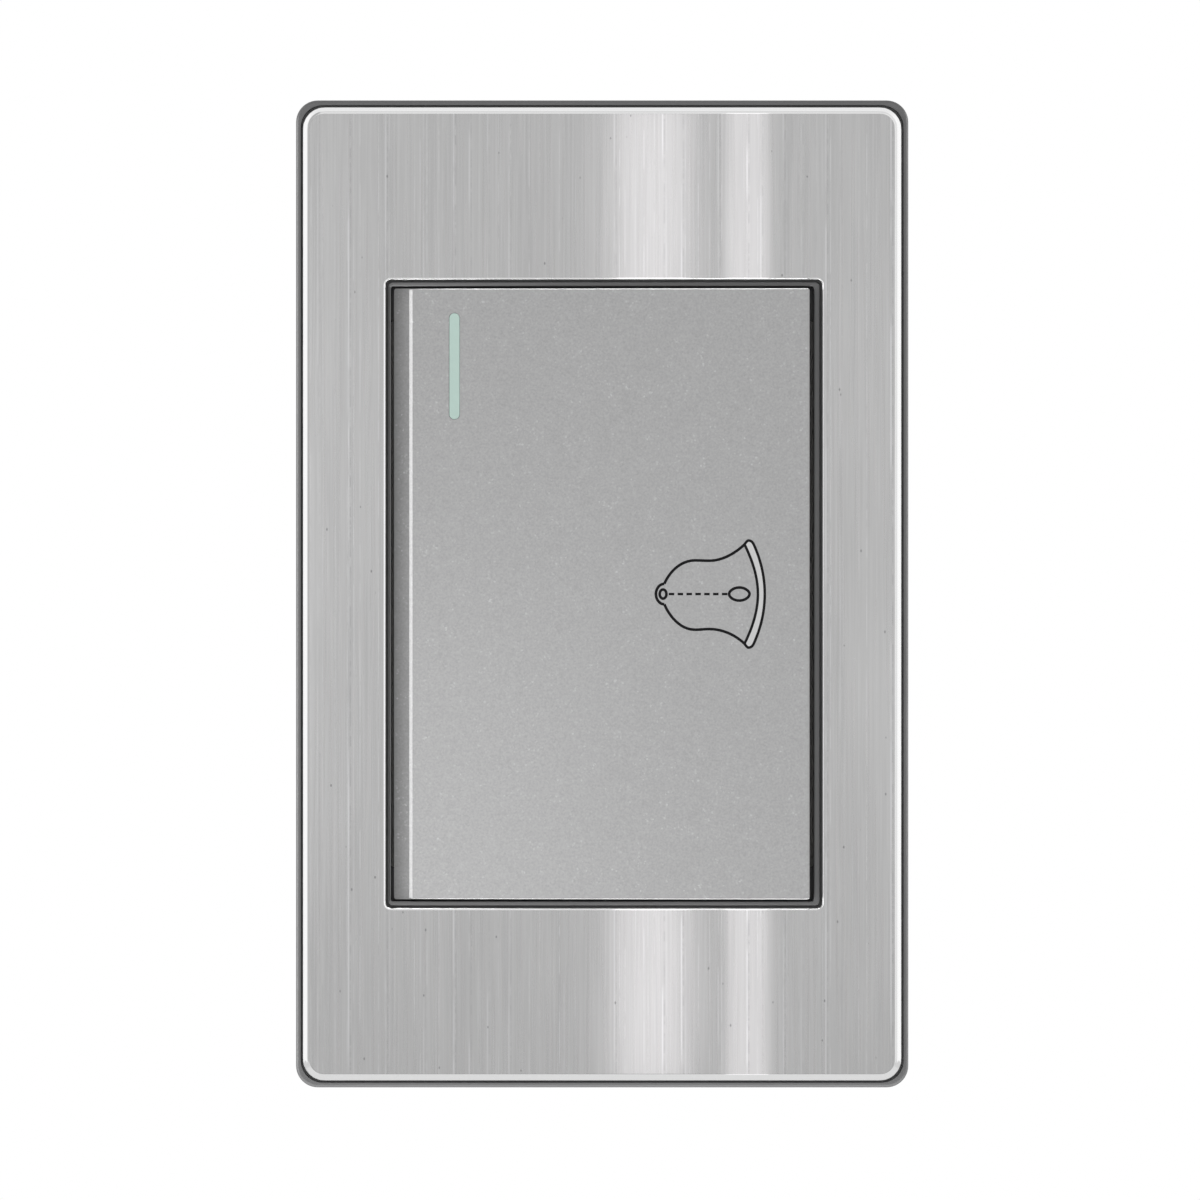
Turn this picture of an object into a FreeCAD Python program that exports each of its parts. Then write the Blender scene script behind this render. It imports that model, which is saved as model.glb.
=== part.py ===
"""A flush doorbell push button for a wall box, with a brushed metal face plate.

A moulded cover frame carries the metal plate and snaps over a pressed steel yoke. The yoke
is screwed to the wall box and clamps a two-part insert: a front chassis with the pivot ears,
and a rear housing with the contacts and terminals. A wide button plate clips to a carrier
that rocks on a steel axle. Its nose drives a sprung plunger, whose contact bridge joins
the two fixed contacts when the right-hand side of the button is pressed.

Millimetres. +X is right, +Y goes into the wall, +Z is up, and the wall's surface is Y = 0.
The origin is midway between the two box screws, on the wall's surface.
"""

import FreeCAD
import Part
import math
import os

from FreeCAD import Vector

# Cover frame: outline, walls and the rim seen round the metal plate
COVER_SIDE_OVERLAP = 6.6
COVER_END_OVERLAP = 6.0
COVER_CORNER = 2.6
COVER_PROUD = 8.0
COVER_TAPER = 0.6
COVER_WALL = 1.8
RIM_WIDTH = 0.6
RIM_HEIGHT = 0.6
RIM_ROUND = 0.4
RIM_SIDE = 2.1
PRY_NOTCH_WIDTH = 9.0
PRY_NOTCH_DEPTH = 1.1

# Metal face plate, set into the frame's rim
PLATE_THICKNESS = 1.5
PLATE_CHAMFER = 0.68
PLATE_GAP = 0.17
WINDOW_CORNER = 0.6
WINDOW_CHAMFER = 0.2
WINDOW_OFFSET = 0.2

# Collar that lines the plate's window, a little off the button's middle as the window is,
# and the skirt behind it that guides the button
COLLAR_WALL = 0.55
COLLAR_GAP = 0.22
COLLAR_DROP = 0.45
COLLAR_CHAMFER = 0.14
GUIDE_WALL = 1.2
GUIDE_DEPTH = 1.4

# Button plate
BUTTON_WIDTH = 49.7
BUTTON_HEIGHT = 73.0
BUTTON_PROUD = 0.35
BUTTON_WALL = 1.6
BUTTON_SKIRT_WALL = 1.4
BUTTON_SKIRT_DEPTH = 4.2
BUTTON_CORNER = 0.3
BUTTON_EDGE = 0.18
BUTTON_OFFSET = 0.1
SIDE_GAP = 0.42
END_GAP = 0.24
BEVEL_WIDTH = 2.25
RIDGE_WIDTH = 0.42
RIDGE_DROP = 0.38
BEVEL_DROP = 0.3
RIDGE_ROUND = 0.15
STIFFENER_WIDTH = 1.0
STIFFENER_HEIGHT = 1.2
STIFFENER_CLEARANCE = 1.0

# Rocking motion: the button rests tipped out on the right by this angle, and presses to
# the same angle the other way
REST_TILT = 2.2
PIVOT_HEIGHT = 1.2
AXLE_RADIUS = 1.0
AXLE_CLEARANCE = 0.05
STOP_PLACE = 19.5
STOP_BOARD_GAP = 3.95
STOP_PAD_WIDTH = 2.4
STOP_PAD_HEIGHT = 0.9
STOP_PAD_CORNER = 0.6
STOP_RIB_WIDTH = 1.2
STOP_GAP = 0.05

# Carrier between the button plate and the axle
CARRIER_SIDE_GAP = 1.8
CARRIER_END_GAP = 0.25
CARRIER_FIT = 0.05
CARRIER_UNDERSIDE = 0.85
HUB_WALL = 1.2
NOSE_RADIUS = 1.5
NOSE_HEIGHT = 6.0
NOSE_DROP = 0.6
CLIP_PLACE = 9.0
CLIP_WIDTH = 5.0
CLIP_THICKNESS = 1.2
CLIP_GAP = 0.15
CLIP_BARB = 0.6
CLIP_BARB_HEIGHT = 0.9

# Indicator bar in the button's face, and the lamp board behind it
BAR_X = -17.5
LENS_TOP_GAP = 0.4
BAR_WIDTH = 1.25
BAR_LENGTH = 12.7
BAR_FIT = 0.03
LENS_FLANGE_WIDTH = 3.0
LENS_FLANGE_LENGTH = 15.0
LENS_FLANGE_THICKNESS = 1.0
BOARD_THICKNESS = 1.0
BOARD_LEFT_REACH = 4.3
BOARD_MARGIN = 0.58
LAMP_SPACING = 5.2
LAMP_WIDTH = 1.6
LAMP_LENGTH = 3.0
LAMP_HEIGHT = 0.8
RESISTOR_WIDTH = 1.6
RESISTOR_LENGTH = 3.2
RESISTOR_HEIGHT = 0.6
RESISTOR_EDGE_GAP = 0.2

# Steel mounting yoke
YOKE_WIDTH = 60.0
YOKE_END = 11.25
YOKE_THICKNESS = 1.2
YOKE_CORNER = 3.0
YOKE_BEND = 0.5
BEND_SHARE = 0.9
FLANGE_CLEARANCE = 0.3
FLANGE_END = 11.0
BOX_SCREW_SPACING = 83.5
SLOT_WIDTH = 4.2
SLOT_LENGTH = 7.0
LUG_PLACE = 18.0
LUG_WIDTH = 11.0
LUG_HEIGHT = 3.1
LUG_WINDOW_WIDTH = 6.6
LUG_WINDOW_HEIGHT = 1.4
LUG_WINDOW_LIFT = 0.7

# Snap hooks of the cover frame, which catch in the yoke's lugs
HOOK_WIDTH = 6.0
HOOK_THICKNESS = 1.4
HOOK_GAP = 0.2
HOOK_BARB = 0.8
HOOK_FIT = 0.1
HOOK_TIP = 0.7

# Insert: front chassis
MODULE_WIDTH = 40.0
MODULE_HEIGHT = 60.0
MODULE_CORNER = 2.0
MODULE_FIT = 0.2
DECK_LIP = 3.0
DECK_SIDE_GAP = 0.5
DECK_THICKNESS = 1.6
SPIGOT_STEP = 1.6
SPIGOT_DEPTH = 6.0
SPIGOT_WALL = 1.6
WELL_END = 11.4
WELL_WALL = 1.4
WELL_FLOOR = 2.0
EAR_WIDTH = 8.0
EAR_THICKNESS = 3.0
EAR_SETBACK = 0.4
EAR_WALL = 0.85

# Insert: rear housing
HOUSING_LIP = 2.0
HOUSING_LIP_THICKNESS = 2.0
HOUSING_WALL = 1.8
HOUSING_CHAMFER = 0.8
SPIGOT_FIT = 0.15
PILLAR_INSET = 4.4
PILLAR_RADIUS = 2.6
PILLAR_FIT = 0.1
PILLAR_ROOT = 0.4
CASE_SCREW_RADIUS = 1.2
CASE_SCREW_HEAD_RADIUS = 2.2
CASE_SCREW_HEAD = 1.6
CASE_SCREW_SUNK = 0.3
CASE_SCREW_GRIP = 5.2
SCREW_FIT = 0.15
RECESS_SHARE = 1.3
RECESS_WIDTH = 0.7
RECESS_DEPTH = 0.8

# Plunger and return spring
PLUNGER_WALL_GAP = 1.1
PUSH_CLEARANCE = 0.1
PLUNGER_HEAD_RADIUS = 3.7
PLUNGER_HEAD = 1.4
PLUNGER_RADIUS = 2.5
PLUNGER_TAIL_RADIUS = 1.5
PLUNGER_STEP_GAP = 1.0
PLUNGER_TAIL_END = 1.6
PLUNGER_FIT = 0.06
GUIDE_BOSS_WALL = 1.6
GUIDE_BOSS_DEPTH = 2.0
SPRING_WIRE = 0.5
SPRING_FIT = 0.25
SPRING_TURNS = 5
SPRING_SEAT = 0.05

# Contact bridge, its spring and clip
CONTACT_SPRING_WIRE = 0.35
CONTACT_SPRING_LENGTH = 2.2
CONTACT_SPRING_TURNS = 4
BRIDGE_THICKNESS = 0.8
BRIDGE_WIDTH = 3.8
BRIDGE_LENGTH = 16.0
BRIDGE_CORNER = 0.9
BRIDGE_FIT = 0.06
CLIP_RING_THICKNESS = 0.6
CLIP_RING_RADIUS = 2.6
CLIP_RING_DEPTH = 0.35
CLIP_RING_MOUTH = 2.0
TIP_RADIUS = 1.2
TIP_HEIGHT = 0.5
TIP_PLACE = 6.0
CONTACT_GAP = 0.03

# Fixed contacts and terminals
CONTACT_THICKNESS = 0.8
CONTACT_WIDTH = 4.0
CONTACT_END = 4.2
CONTACT_LIFT = 3.45
TERMINAL_PILLAR_GAP = 1.0
TERMINAL_WIDTH = 7.0
TERMINAL_HEIGHT = 8.0
TERMINAL_DEPTH = 8.8
TERMINAL_EDGE = 0.4
TERMINAL_FIT = 0.1
WIRE_RADIUS = 1.6
WIRE_DEPTH = 7.0
WIRE_HOLE_RADIUS = 1.9
WIRE_FUNNEL_RADIUS = 2.8
TERMINAL_SCREW_RADIUS = 1.5
TERMINAL_SCREW_HEAD_RADIUS = 2.2
TERMINAL_SCREW_HEAD = 1.7
TERMINAL_SCREW_SHANK = 1.8
TERMINAL_SCREW_TIP = 0.15
DRIVER_HOLE_RADIUS = 2.6

# Strips that feed the lamp board
BUS_THICKNESS = 0.5
BUS_WIDTH = 2.5
BUS_WALL_GAP = 0.2
BUS_PILLAR_GAP = 0.15
BUS_PITCH = 5.7
BUS_FIT = 0.12
BUS_STANDOFF = 0.2
UPPER_BUS_LIFT = 3.2
LOWER_BUS_LIFT = 2.0
SUPPORT_GAP = 0.05

# Springs are built from straight lengths of many-sided wire
COIL_STEPS = 12
WIRE_SIDES = 6

# Two places closer than this are the same, and a cut runs this far past the piece it cuts
SAME_PLACE = 1e-6
OVERCUT = 1.0

# Outlines worked out from the sizes above
YOKE_HEIGHT = BOX_SCREW_SPACING + 2 * YOKE_END
COVER_WIDTH = YOKE_WIDTH + 2 * COVER_SIDE_OVERLAP
COVER_HEIGHT = YOKE_HEIGHT + 2 * COVER_END_OVERLAP
PLATE_WIDTH = COVER_WIDTH - 2 * (RIM_WIDTH + PLATE_GAP)
PLATE_HEIGHT = COVER_HEIGHT - 2 * (RIM_WIDTH + PLATE_GAP)
OPENING_WIDTH = BUTTON_WIDTH + 2 * SIDE_GAP
OPENING_HEIGHT = BUTTON_HEIGHT + 2 * END_GAP
COLLAR_WIDTH = OPENING_WIDTH + 2 * COLLAR_WALL
COLLAR_HEIGHT = OPENING_HEIGHT + 2 * COLLAR_WALL
FLANGE_LENGTH = YOKE_HEIGHT - 2 * FLANGE_END
DECK_WIDTH = YOKE_WIDTH - 2 * (YOKE_THICKNESS + DECK_SIDE_GAP)
DECK_HEIGHT = MODULE_HEIGHT + 2 * DECK_LIP
SPIGOT_WIDTH = MODULE_WIDTH - 2 * SPIGOT_STEP
SPIGOT_HEIGHT = MODULE_HEIGHT - 2 * SPIGOT_STEP
WELL_WIDTH = SPIGOT_WIDTH - 2 * SPIGOT_WALL
WELL_HEIGHT = MODULE_HEIGHT - 2 * WELL_END
CARRIER_WIDTH = WELL_WIDTH - 2 * CARRIER_SIDE_GAP
CARRIER_HEIGHT = WELL_HEIGHT - 2 * (CLIP_GAP + CLIP_THICKNESS + CARRIER_END_GAP)
HOUSING_WIDTH = MODULE_WIDTH + 2 * MODULE_FIT
HOUSING_HEIGHT = MODULE_HEIGHT + 2 * MODULE_FIT

# Places across and up the wall
EAR_PLACE = WELL_HEIGHT / 2 + EAR_SETBACK + EAR_THICKNESS / 2
PILLAR_X = MODULE_WIDTH / 2 - PILLAR_INSET
PILLAR_Z = MODULE_HEIGHT / 2 - PILLAR_INSET
PLUNGER_X = WELL_WIDTH / 2 - PLUNGER_WALL_GAP - PLUNGER_HEAD_RADIUS
TERMINAL_Z = PILLAR_Z - PILLAR_RADIUS - TERMINAL_PILLAR_GAP - TERMINAL_HEIGHT / 2
TERMINAL_LEFT = PLUNGER_X - TERMINAL_WIDTH / 2
BUS_X = BUS_WALL_GAP + BUS_THICKNESS / 2 - WELL_WIDTH / 2
LOWER_BUS_Z = PILLAR_Z - PILLAR_RADIUS - BUS_PILLAR_GAP - BUS_WIDTH / 2
UPPER_BUS_Z = LOWER_BUS_Z - BUS_PITCH
BAR_Z = BUTTON_HEIGHT / 2 - BUTTON_SKIRT_WALL - LENS_TOP_GAP - LENS_FLANGE_LENGTH / 2
BOARD_X_RANGE = (BAR_X - BOARD_LEFT_REACH, BUS_X + BUS_THICKNESS / 2 + BUS_FIT + BOARD_MARGIN)
BOARD_Z_RANGE = (
    UPPER_BUS_Z - BUS_WIDTH / 2 - BUS_FIT - BOARD_MARGIN,
    BAR_Z + (LAMP_SPACING + LAMP_LENGTH) / 2 + BOARD_MARGIN,
)
STOP_LENGTH = 2 * (BOARD_Z_RANGE[0] - STOP_BOARD_GAP)

# Depths, counted from the wall
FACE_Y = -COVER_PROUD
SEAT_Y = FACE_Y + PLATE_THICKNESS
RIM_Y = SEAT_Y - RIM_HEIGHT
CEILING_Y = SEAT_Y + COVER_WALL
GUIDE_BACK_Y = CEILING_Y + GUIDE_DEPTH
YOKE_Y = -YOKE_THICKNESS
FLANGE_Y = GUIDE_BACK_Y + FLANGE_CLEARANCE
DECK_Y = YOKE_Y - DECK_THICKNESS
PIVOT_Y = DECK_Y - PIVOT_HEIGHT
BUTTON_Y = FACE_Y - BUTTON_PROUD
BUTTON_BACK_Y = BUTTON_Y + BUTTON_WALL
CARRIER_Y = BUTTON_BACK_Y + CARRIER_FIT
CARRIER_UNDER_Y = PIVOT_Y - CARRIER_UNDERSIDE
PAD_Y = DECK_Y - STOP_PAD_HEIGHT
BOARD_Y = DECK_Y - BOARD_THICKNESS
WELL_FLOOR_Y = SPIGOT_DEPTH - WELL_FLOOR
GUIDE_BOSS_Y = SPIGOT_DEPTH + GUIDE_BOSS_DEPTH
NOSE_Y = PIVOT_Y + NOSE_DROP
TILT = math.radians(REST_TILT)
PLUNGER_TRAVEL = 2 * PLUNGER_X * math.sin(TILT)

# Depths of the contact stack at rest, from the plunger's step inwards
STEP_Y = GUIDE_BOSS_Y + PLUNGER_STEP_GAP
BRIDGE_Y = STEP_Y + CONTACT_SPRING_LENGTH
RING_Y = BRIDGE_Y + BRIDGE_THICKNESS
TAIL_Y = RING_Y + CLIP_RING_THICKNESS + PLUNGER_TAIL_END
FIXED_TIP_Y = RING_Y + TIP_HEIGHT + PLUNGER_TRAVEL + CONTACT_GAP
CONTACT_Y = FIXED_TIP_Y + TIP_HEIGHT
CONTACT_BACK_Y = CONTACT_Y + CONTACT_THICKNESS
FLOOR_Y = CONTACT_BACK_Y + CONTACT_LIFT
HOUSING_DEPTH = FLOOR_Y + HOUSING_WALL
UPPER_BUS_Y = FLOOR_Y - UPPER_BUS_LIFT
LOWER_BUS_Y = FLOOR_Y - LOWER_BUS_LIFT
TERMINAL_BACK_Y = FLOOR_Y - TERMINAL_FIT
TERMINAL_FRONT_Y = TERMINAL_BACK_Y - TERMINAL_DEPTH
TERMINAL_SCREW_Y = TERMINAL_BACK_Y - TERMINAL_DEPTH / 2


def block(x_range, y_range, z_range):
    """A plain box between two limits on each axis."""
    (x0, x1), (y0, y1), (z0, z1) = x_range, y_range, z_range
    return Part.makeBox(x1 - x0, y1 - y0, z1 - z0, Vector(x0, y0, z0))


def spread(middle, size):
    """The two limits of a size centred on a place."""
    return (middle - size / 2, middle + size / 2)


def rounded_outline(width, height, corner, y, x=0.0, z=0.0):
    """A rectangle with round corners in the plane of the wall, as a closed wire."""
    right, top = width / 2, height / 2
    diagonal = corner * (1 - math.sqrt(0.5))
    edges = []
    for sx, sz, turned in ((1, 1, False), (-1, 1, True), (-1, -1, False), (1, -1, True)):
        side = Vector(x + sx * right, y, z + sz * (top - corner))
        end = Vector(x + sx * (right - corner), y, z + sz * top)
        middle = Vector(x + sx * (right - diagonal), y, z + sz * (top - diagonal))
        first, last = (end, side) if turned else (side, end)
        edges.append(Part.Arc(first, middle, last).toShape())
    joins = [
        Part.makeLine(one.lastVertex().Point, two.firstVertex().Point)
        for one, two in zip(edges, edges[1:] + edges[:1])
    ]
    return Part.Wire([edge for pair in zip(edges, joins) for edge in pair])


def long_hole(width, length, y_range, x=0.0, z=0.0):
    """A prism with straight sides and fully round ends, long way up."""
    front, back = y_range
    half, reach = width / 2, (length - width) / 2
    corners = [
        Vector(x + sx * half, front, z + sz * reach)
        for sx, sz in ((1, -1), (1, 1), (-1, 1), (-1, -1))
    ]
    top = Part.Arc(corners[1], Vector(x, front, z + length / 2), corners[2]).toShape()
    bottom = Part.Arc(corners[3], Vector(x, front, z - length / 2), corners[0]).toShape()
    right = Part.makeLine(corners[0], corners[1])
    left = Part.makeLine(corners[2], corners[3])
    face = Part.Face(Part.Wire([right, top, left, bottom]))
    return face.extrude(Vector(0, back - front, 0))


def slab(width, height, corner, y_range, x=0.0, z=0.0):
    """A prism with a rounded rectangular outline, between two depths."""
    front, back = y_range
    face = Part.Face(rounded_outline(width, height, corner, front, x, z))
    return face.extrude(Vector(0, back - front, 0))


def drafted_slab(front_size, back_size, corner, y_range):
    """A rounded rectangular block whose sides lean from one size to another."""
    outlines = [
        rounded_outline(size[0], size[1], corner, y)
        for size, y in zip((front_size, back_size), y_range)
    ]
    return Part.makeLoft(outlines, True, True)


def rod(radius, y_range, x=0.0, z=0.0):
    """A cylinder that runs into the wall."""
    front, back = y_range
    return Part.makeCylinder(radius, back - front, Vector(x, front, z), Vector(0, 1, 0))


def cross_rod(radius, z_range, x, y):
    """A cylinder that runs upwards, parallel to the axle."""
    low, high = z_range
    return Part.makeCylinder(radius, high - low, Vector(x, y, low), Vector(0, 0, 1))


def side_rod(radius, x_range, y, z):
    """A cylinder that runs to the right."""
    left, right = x_range
    return Part.makeCylinder(radius, right - left, Vector(left, y, z), Vector(1, 0, 0))


def prism_z(points, z_range):
    """A prism that runs upwards from a closed outline of (x, y) corners."""
    low, high = z_range
    corners = [Vector(x, y, low) for x, y in points]
    face = Part.Face(Part.makePolygon(corners + corners[:1]))
    return face.extrude(Vector(0, 0, high - low))


def prism_x(points, x_range):
    """A prism that runs to the right from a closed outline of (y, z) corners."""
    left, right = x_range
    corners = [Vector(left, y, z) for y, z in points]
    face = Part.Face(Part.makePolygon(corners + corners[:1]))
    return face.extrude(Vector(right - left, 0, 0))


def joined(shapes):
    """Several solids as one, with the seams between flat faces cleaned away."""
    whole = shapes[0].fuse(list(shapes[1:])) if len(shapes) > 1 else shapes[0]
    return whole.removeSplitter()


def without(shape, cuts):
    """A solid with others cut from it."""
    return shape.cut(list(cuts)).removeSplitter()


def edges_in_plane(shape, y):
    """The edges that lie at one depth."""
    return [
        edge
        for edge in shape.Edges
        if abs(edge.BoundBox.YMin - y) < SAME_PLACE and abs(edge.BoundBox.YMax - y) < SAME_PLACE
    ]


def loops_at(shape, y):
    """The outer edges and the window's edges of the flat face at one depth."""
    face = max(
        (
            f
            for f in shape.Faces
            if abs(f.BoundBox.YMin - y) < SAME_PLACE and abs(f.BoundBox.YMax - y) < SAME_PLACE
        ),
        key=lambda f: f.Area,
    )
    outer = face.OuterWire
    inner = [e for wire in face.Wires if not wire.isSame(outer) for e in wire.Edges]
    return outer.Edges, inner


def coil(radius, wire, y_range, turns, x):
    """A compression spring round a rod that runs into the wall, in short lengths of wire."""
    front, back = y_range
    count = turns * COIL_STEPS
    rise = (back - front - wire) / count
    bend = math.tau / COIL_STEPS
    path = [
        Vector(
            x + radius * math.cos(bend * k),
            front + wire / 2 + rise * k,
            radius * math.sin(bend * k),
        )
        for k in range(count + 1)
    ]
    side = math.tau / WIRE_SIDES
    corner = wire / 2 / math.cos(side / 2)
    section = [
        path[0] + Vector(corner * math.cos(side * (k + 0.5)), corner * math.sin(side * (k + 0.5)), 0)
        for k in range(WIRE_SIDES + 1)
    ]
    mitred = 1
    return Part.makePolygon(path).makePipeShell([Part.makePolygon(section)], True, True, mitred)


def tipped_out(shape):
    """A piece of the rocking body, turned about the axle from square to its rest place."""
    moved = shape.copy()
    moved.rotate(Vector(0, PIVOT_Y, 0), Vector(0, 0, 1), -REST_TILT)
    return moved


# Cover: metal plate and moulded frame


def face_plate():
    """Brushed metal sheet with a cut bevel round its edge and a finer one round the window."""
    sheet = slab(PLATE_WIDTH, PLATE_HEIGHT, COVER_CORNER, (FACE_Y, SEAT_Y))
    window = slab(
        COLLAR_WIDTH + 2 * COLLAR_GAP,
        COLLAR_HEIGHT + 2 * COLLAR_GAP,
        WINDOW_CORNER,
        (FACE_Y, SEAT_Y),
        x=WINDOW_OFFSET,
    )
    plate = sheet.cut(window)
    outer, _ = loops_at(plate, FACE_Y)
    plate = plate.makeChamfer(PLATE_CHAMFER, outer)
    _, inner = loops_at(plate, FACE_Y)
    return plate.makeChamfer(WINDOW_CHAMFER, inner)


def snap_hook(side, x):
    """A springy tongue from the frame's front wall, with a barb that points to the middle."""
    near = YOKE_HEIGHT / 2 + HOOK_GAP
    far = near + HOOK_THICKNESS
    window_front = YOKE_Y - LUG_WINDOW_LIFT - LUG_WINDOW_HEIGHT
    barb_front = window_front + HOOK_FIT
    barb_back = YOKE_Y - LUG_WINDOW_LIFT - HOOK_FIT
    profile = [
        (CEILING_Y, near),
        (barb_front, near),
        (barb_front, near - HOOK_GAP - HOOK_BARB),
        (barb_back, near),
        (-HOOK_TIP, near),
        (-HOOK_TIP, far),
        (CEILING_Y, far),
    ]
    return prism_x([(y, side * z) for y, z in profile], spread(x, HOOK_WIDTH))


def frame_ribs():
    """Stiffening ribs behind the frame's front wall, above and below the window."""
    rib_y = (CEILING_Y, GUIDE_BACK_Y)
    skirt_edge = OPENING_HEIGHT / 2 + GUIDE_WALL
    wall_edge = COVER_HEIGHT / 2 - COVER_WALL
    ribs = []
    for side in (-1, 1):
        z_range = sorted((side * skirt_edge, side * wall_edge))
        for x in (-LUG_PLACE / 2, LUG_PLACE / 2):
            ribs.append(block(spread(x, STIFFENER_WIDTH), rib_y, z_range))
    return ribs


def cover_frame():
    """Moulded frame: rim and seat for the plate, window collar, guide skirt and snap hooks."""
    full = (COVER_WIDTH, COVER_HEIGHT)
    wall_end = (COVER_WIDTH - 2 * COVER_TAPER, COVER_HEIGHT - 2 * COVER_TAPER)
    shoulder = RIM_Y + RIM_SIDE
    front = slab(*full, COVER_CORNER, (RIM_Y, shoulder))
    front = front.makeFillet(RIM_ROUND, edges_in_plane(front, RIM_Y))
    shell = joined([front, drafted_slab(full, wall_end, COVER_CORNER, (shoulder, 0.0))])
    inner_front = [size - 2 * COVER_WALL for size in full]
    inner_back = [size - 2 * COVER_WALL for size in wall_end]
    cavity = drafted_slab(inner_front, inner_back, COVER_CORNER, (CEILING_Y, 0.0))
    seat = slab(
        PLATE_WIDTH + 2 * PLATE_GAP, PLATE_HEIGHT + 2 * PLATE_GAP, COVER_CORNER, (RIM_Y, SEAT_Y)
    )
    collar_top = FACE_Y + COLLAR_DROP
    collar = slab(
        COLLAR_WIDTH, COLLAR_HEIGHT, WINDOW_CORNER, (collar_top, SEAT_Y), x=WINDOW_OFFSET
    )
    guide = slab(
        OPENING_WIDTH + 2 * GUIDE_WALL,
        OPENING_HEIGHT + 2 * GUIDE_WALL,
        WINDOW_CORNER + GUIDE_WALL,
        (CEILING_Y, GUIDE_BACK_Y),
    )
    opening = slab(OPENING_WIDTH, OPENING_HEIGHT, BUTTON_CORNER, (collar_top, GUIDE_BACK_Y))
    hollow = without(shell, [cavity, seat])
    frame = without(joined([hollow, collar, guide] + frame_ribs()), [opening])
    top_edges = edges_in_plane(frame, collar_top)
    frame = frame.makeChamfer(COLLAR_CHAMFER, top_edges)
    hooks = [snap_hook(side, x) for side in (-1, 1) for x in (-LUG_PLACE, LUG_PLACE)]
    notch = block(
        spread(0.0, PRY_NOTCH_WIDTH),
        (-PRY_NOTCH_DEPTH, 0.0),
        (-COVER_HEIGHT / 2, -COVER_HEIGHT / 2 + COVER_TAPER + 2 * COVER_WALL),
    )
    return without(joined([frame] + hooks), [notch])


# Steel yoke


def bent_edge(length, rise, middle_x):
    """A strip bent forward from the yoke's top edge, with the bend's round outside."""
    outer = YOKE_BEND + YOKE_THICKNESS
    foot = block(
        spread(middle_x, length),
        (YOKE_Y, 0.0),
        (YOKE_HEIGHT / 2 - outer, YOKE_HEIGHT / 2),
    )
    upright = block(
        spread(middle_x, length),
        (YOKE_Y - rise, 0.0),
        (YOKE_HEIGHT / 2 - YOKE_THICKNESS, YOKE_HEIGHT / 2),
    )
    strip = joined([foot, upright])
    corner = [
        e
        for e in edges_in_plane(strip, 0.0)
        if abs(e.BoundBox.ZMin - YOKE_HEIGHT / 2) < SAME_PLACE and e.BoundBox.ZLength < SAME_PLACE
    ]
    return strip.makeFillet(BEND_SHARE * YOKE_THICKNESS, corner)


def latch_lug(x):
    """A lug at the yoke's top edge, with the window that the cover's hook snaps into."""
    lug = bent_edge(LUG_WIDTH, LUG_HEIGHT, x)
    window_back = YOKE_Y - LUG_WINDOW_LIFT
    window = block(
        spread(x, LUG_WINDOW_WIDTH),
        (window_back - LUG_WINDOW_HEIGHT, window_back),
        (YOKE_HEIGHT / 2 - 2 * YOKE_THICKNESS, YOKE_HEIGHT / 2),
    )
    return lug.cut(window)


def side_flange(side):
    """The yoke's long edge, turned forward to stiffen it, with sloped ends."""
    outer = side * YOKE_WIDTH / 2
    x_range = sorted((outer, outer - side * YOKE_THICKNESS))
    half = FLANGE_LENGTH / 2
    slope = YOKE_Y - FLANGE_Y
    profile = [
        (0.0, -half),
        (YOKE_Y, -half),
        (FLANGE_Y, -half + slope),
        (FLANGE_Y, half - slope),
        (YOKE_Y, half),
        (0.0, half),
    ]
    flange = prism_x(profile, x_range)
    corner = [
        e
        for e in edges_in_plane(flange, 0.0)
        if abs(e.BoundBox.XMin - outer) < SAME_PLACE and e.BoundBox.XLength < SAME_PLACE
    ]
    return flange.makeFillet(BEND_SHARE * YOKE_THICKNESS, corner)


def box_slot(side):
    """A slot for one box screw, long way up the yoke."""
    return long_hole(
        SLOT_WIDTH, SLOT_LENGTH, (YOKE_Y, 0.0), z=side * BOX_SCREW_SPACING / 2
    )


def mounting_yoke():
    """Pressed steel strap: window for the insert, two screw slots, turned edges and lugs."""
    sheet = slab(YOKE_WIDTH, YOKE_HEIGHT, YOKE_CORNER, (YOKE_Y, 0.0))
    lugs = []
    for x in (-LUG_PLACE, LUG_PLACE):
        top = latch_lug(x)
        bottom = top.mirror(Vector(0, 0, 0), Vector(0, 0, 1))
        lugs += [top, bottom]
    flanges = [side_flange(-1), side_flange(1)]
    # The flat sheet stops short of each turned edge, so that the bends stay round outside.
    clear = []
    for side in (-1, 1):
        z_edge = side * YOKE_HEIGHT / 2
        z_range = sorted((z_edge, z_edge - side * YOKE_THICKNESS))
        for x in (-LUG_PLACE, LUG_PLACE):
            clear.append(block(spread(x, LUG_WIDTH), (YOKE_Y, 0.0), z_range))
        x_edge = side * YOKE_WIDTH / 2
        x_range = sorted((x_edge, x_edge - side * YOKE_THICKNESS))
        clear.append(block(x_range, (YOKE_Y, 0.0), spread(0.0, FLANGE_LENGTH)))
    window = slab(
        MODULE_WIDTH + 2 * MODULE_FIT,
        MODULE_HEIGHT + 2 * MODULE_FIT,
        MODULE_CORNER,
        (YOKE_Y, 0.0),
    )
    strap = joined([without(sheet, clear)] + lugs + flanges)
    return without(strap, [window, box_slot(-1), box_slot(1)])


# Insert: front chassis


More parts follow.
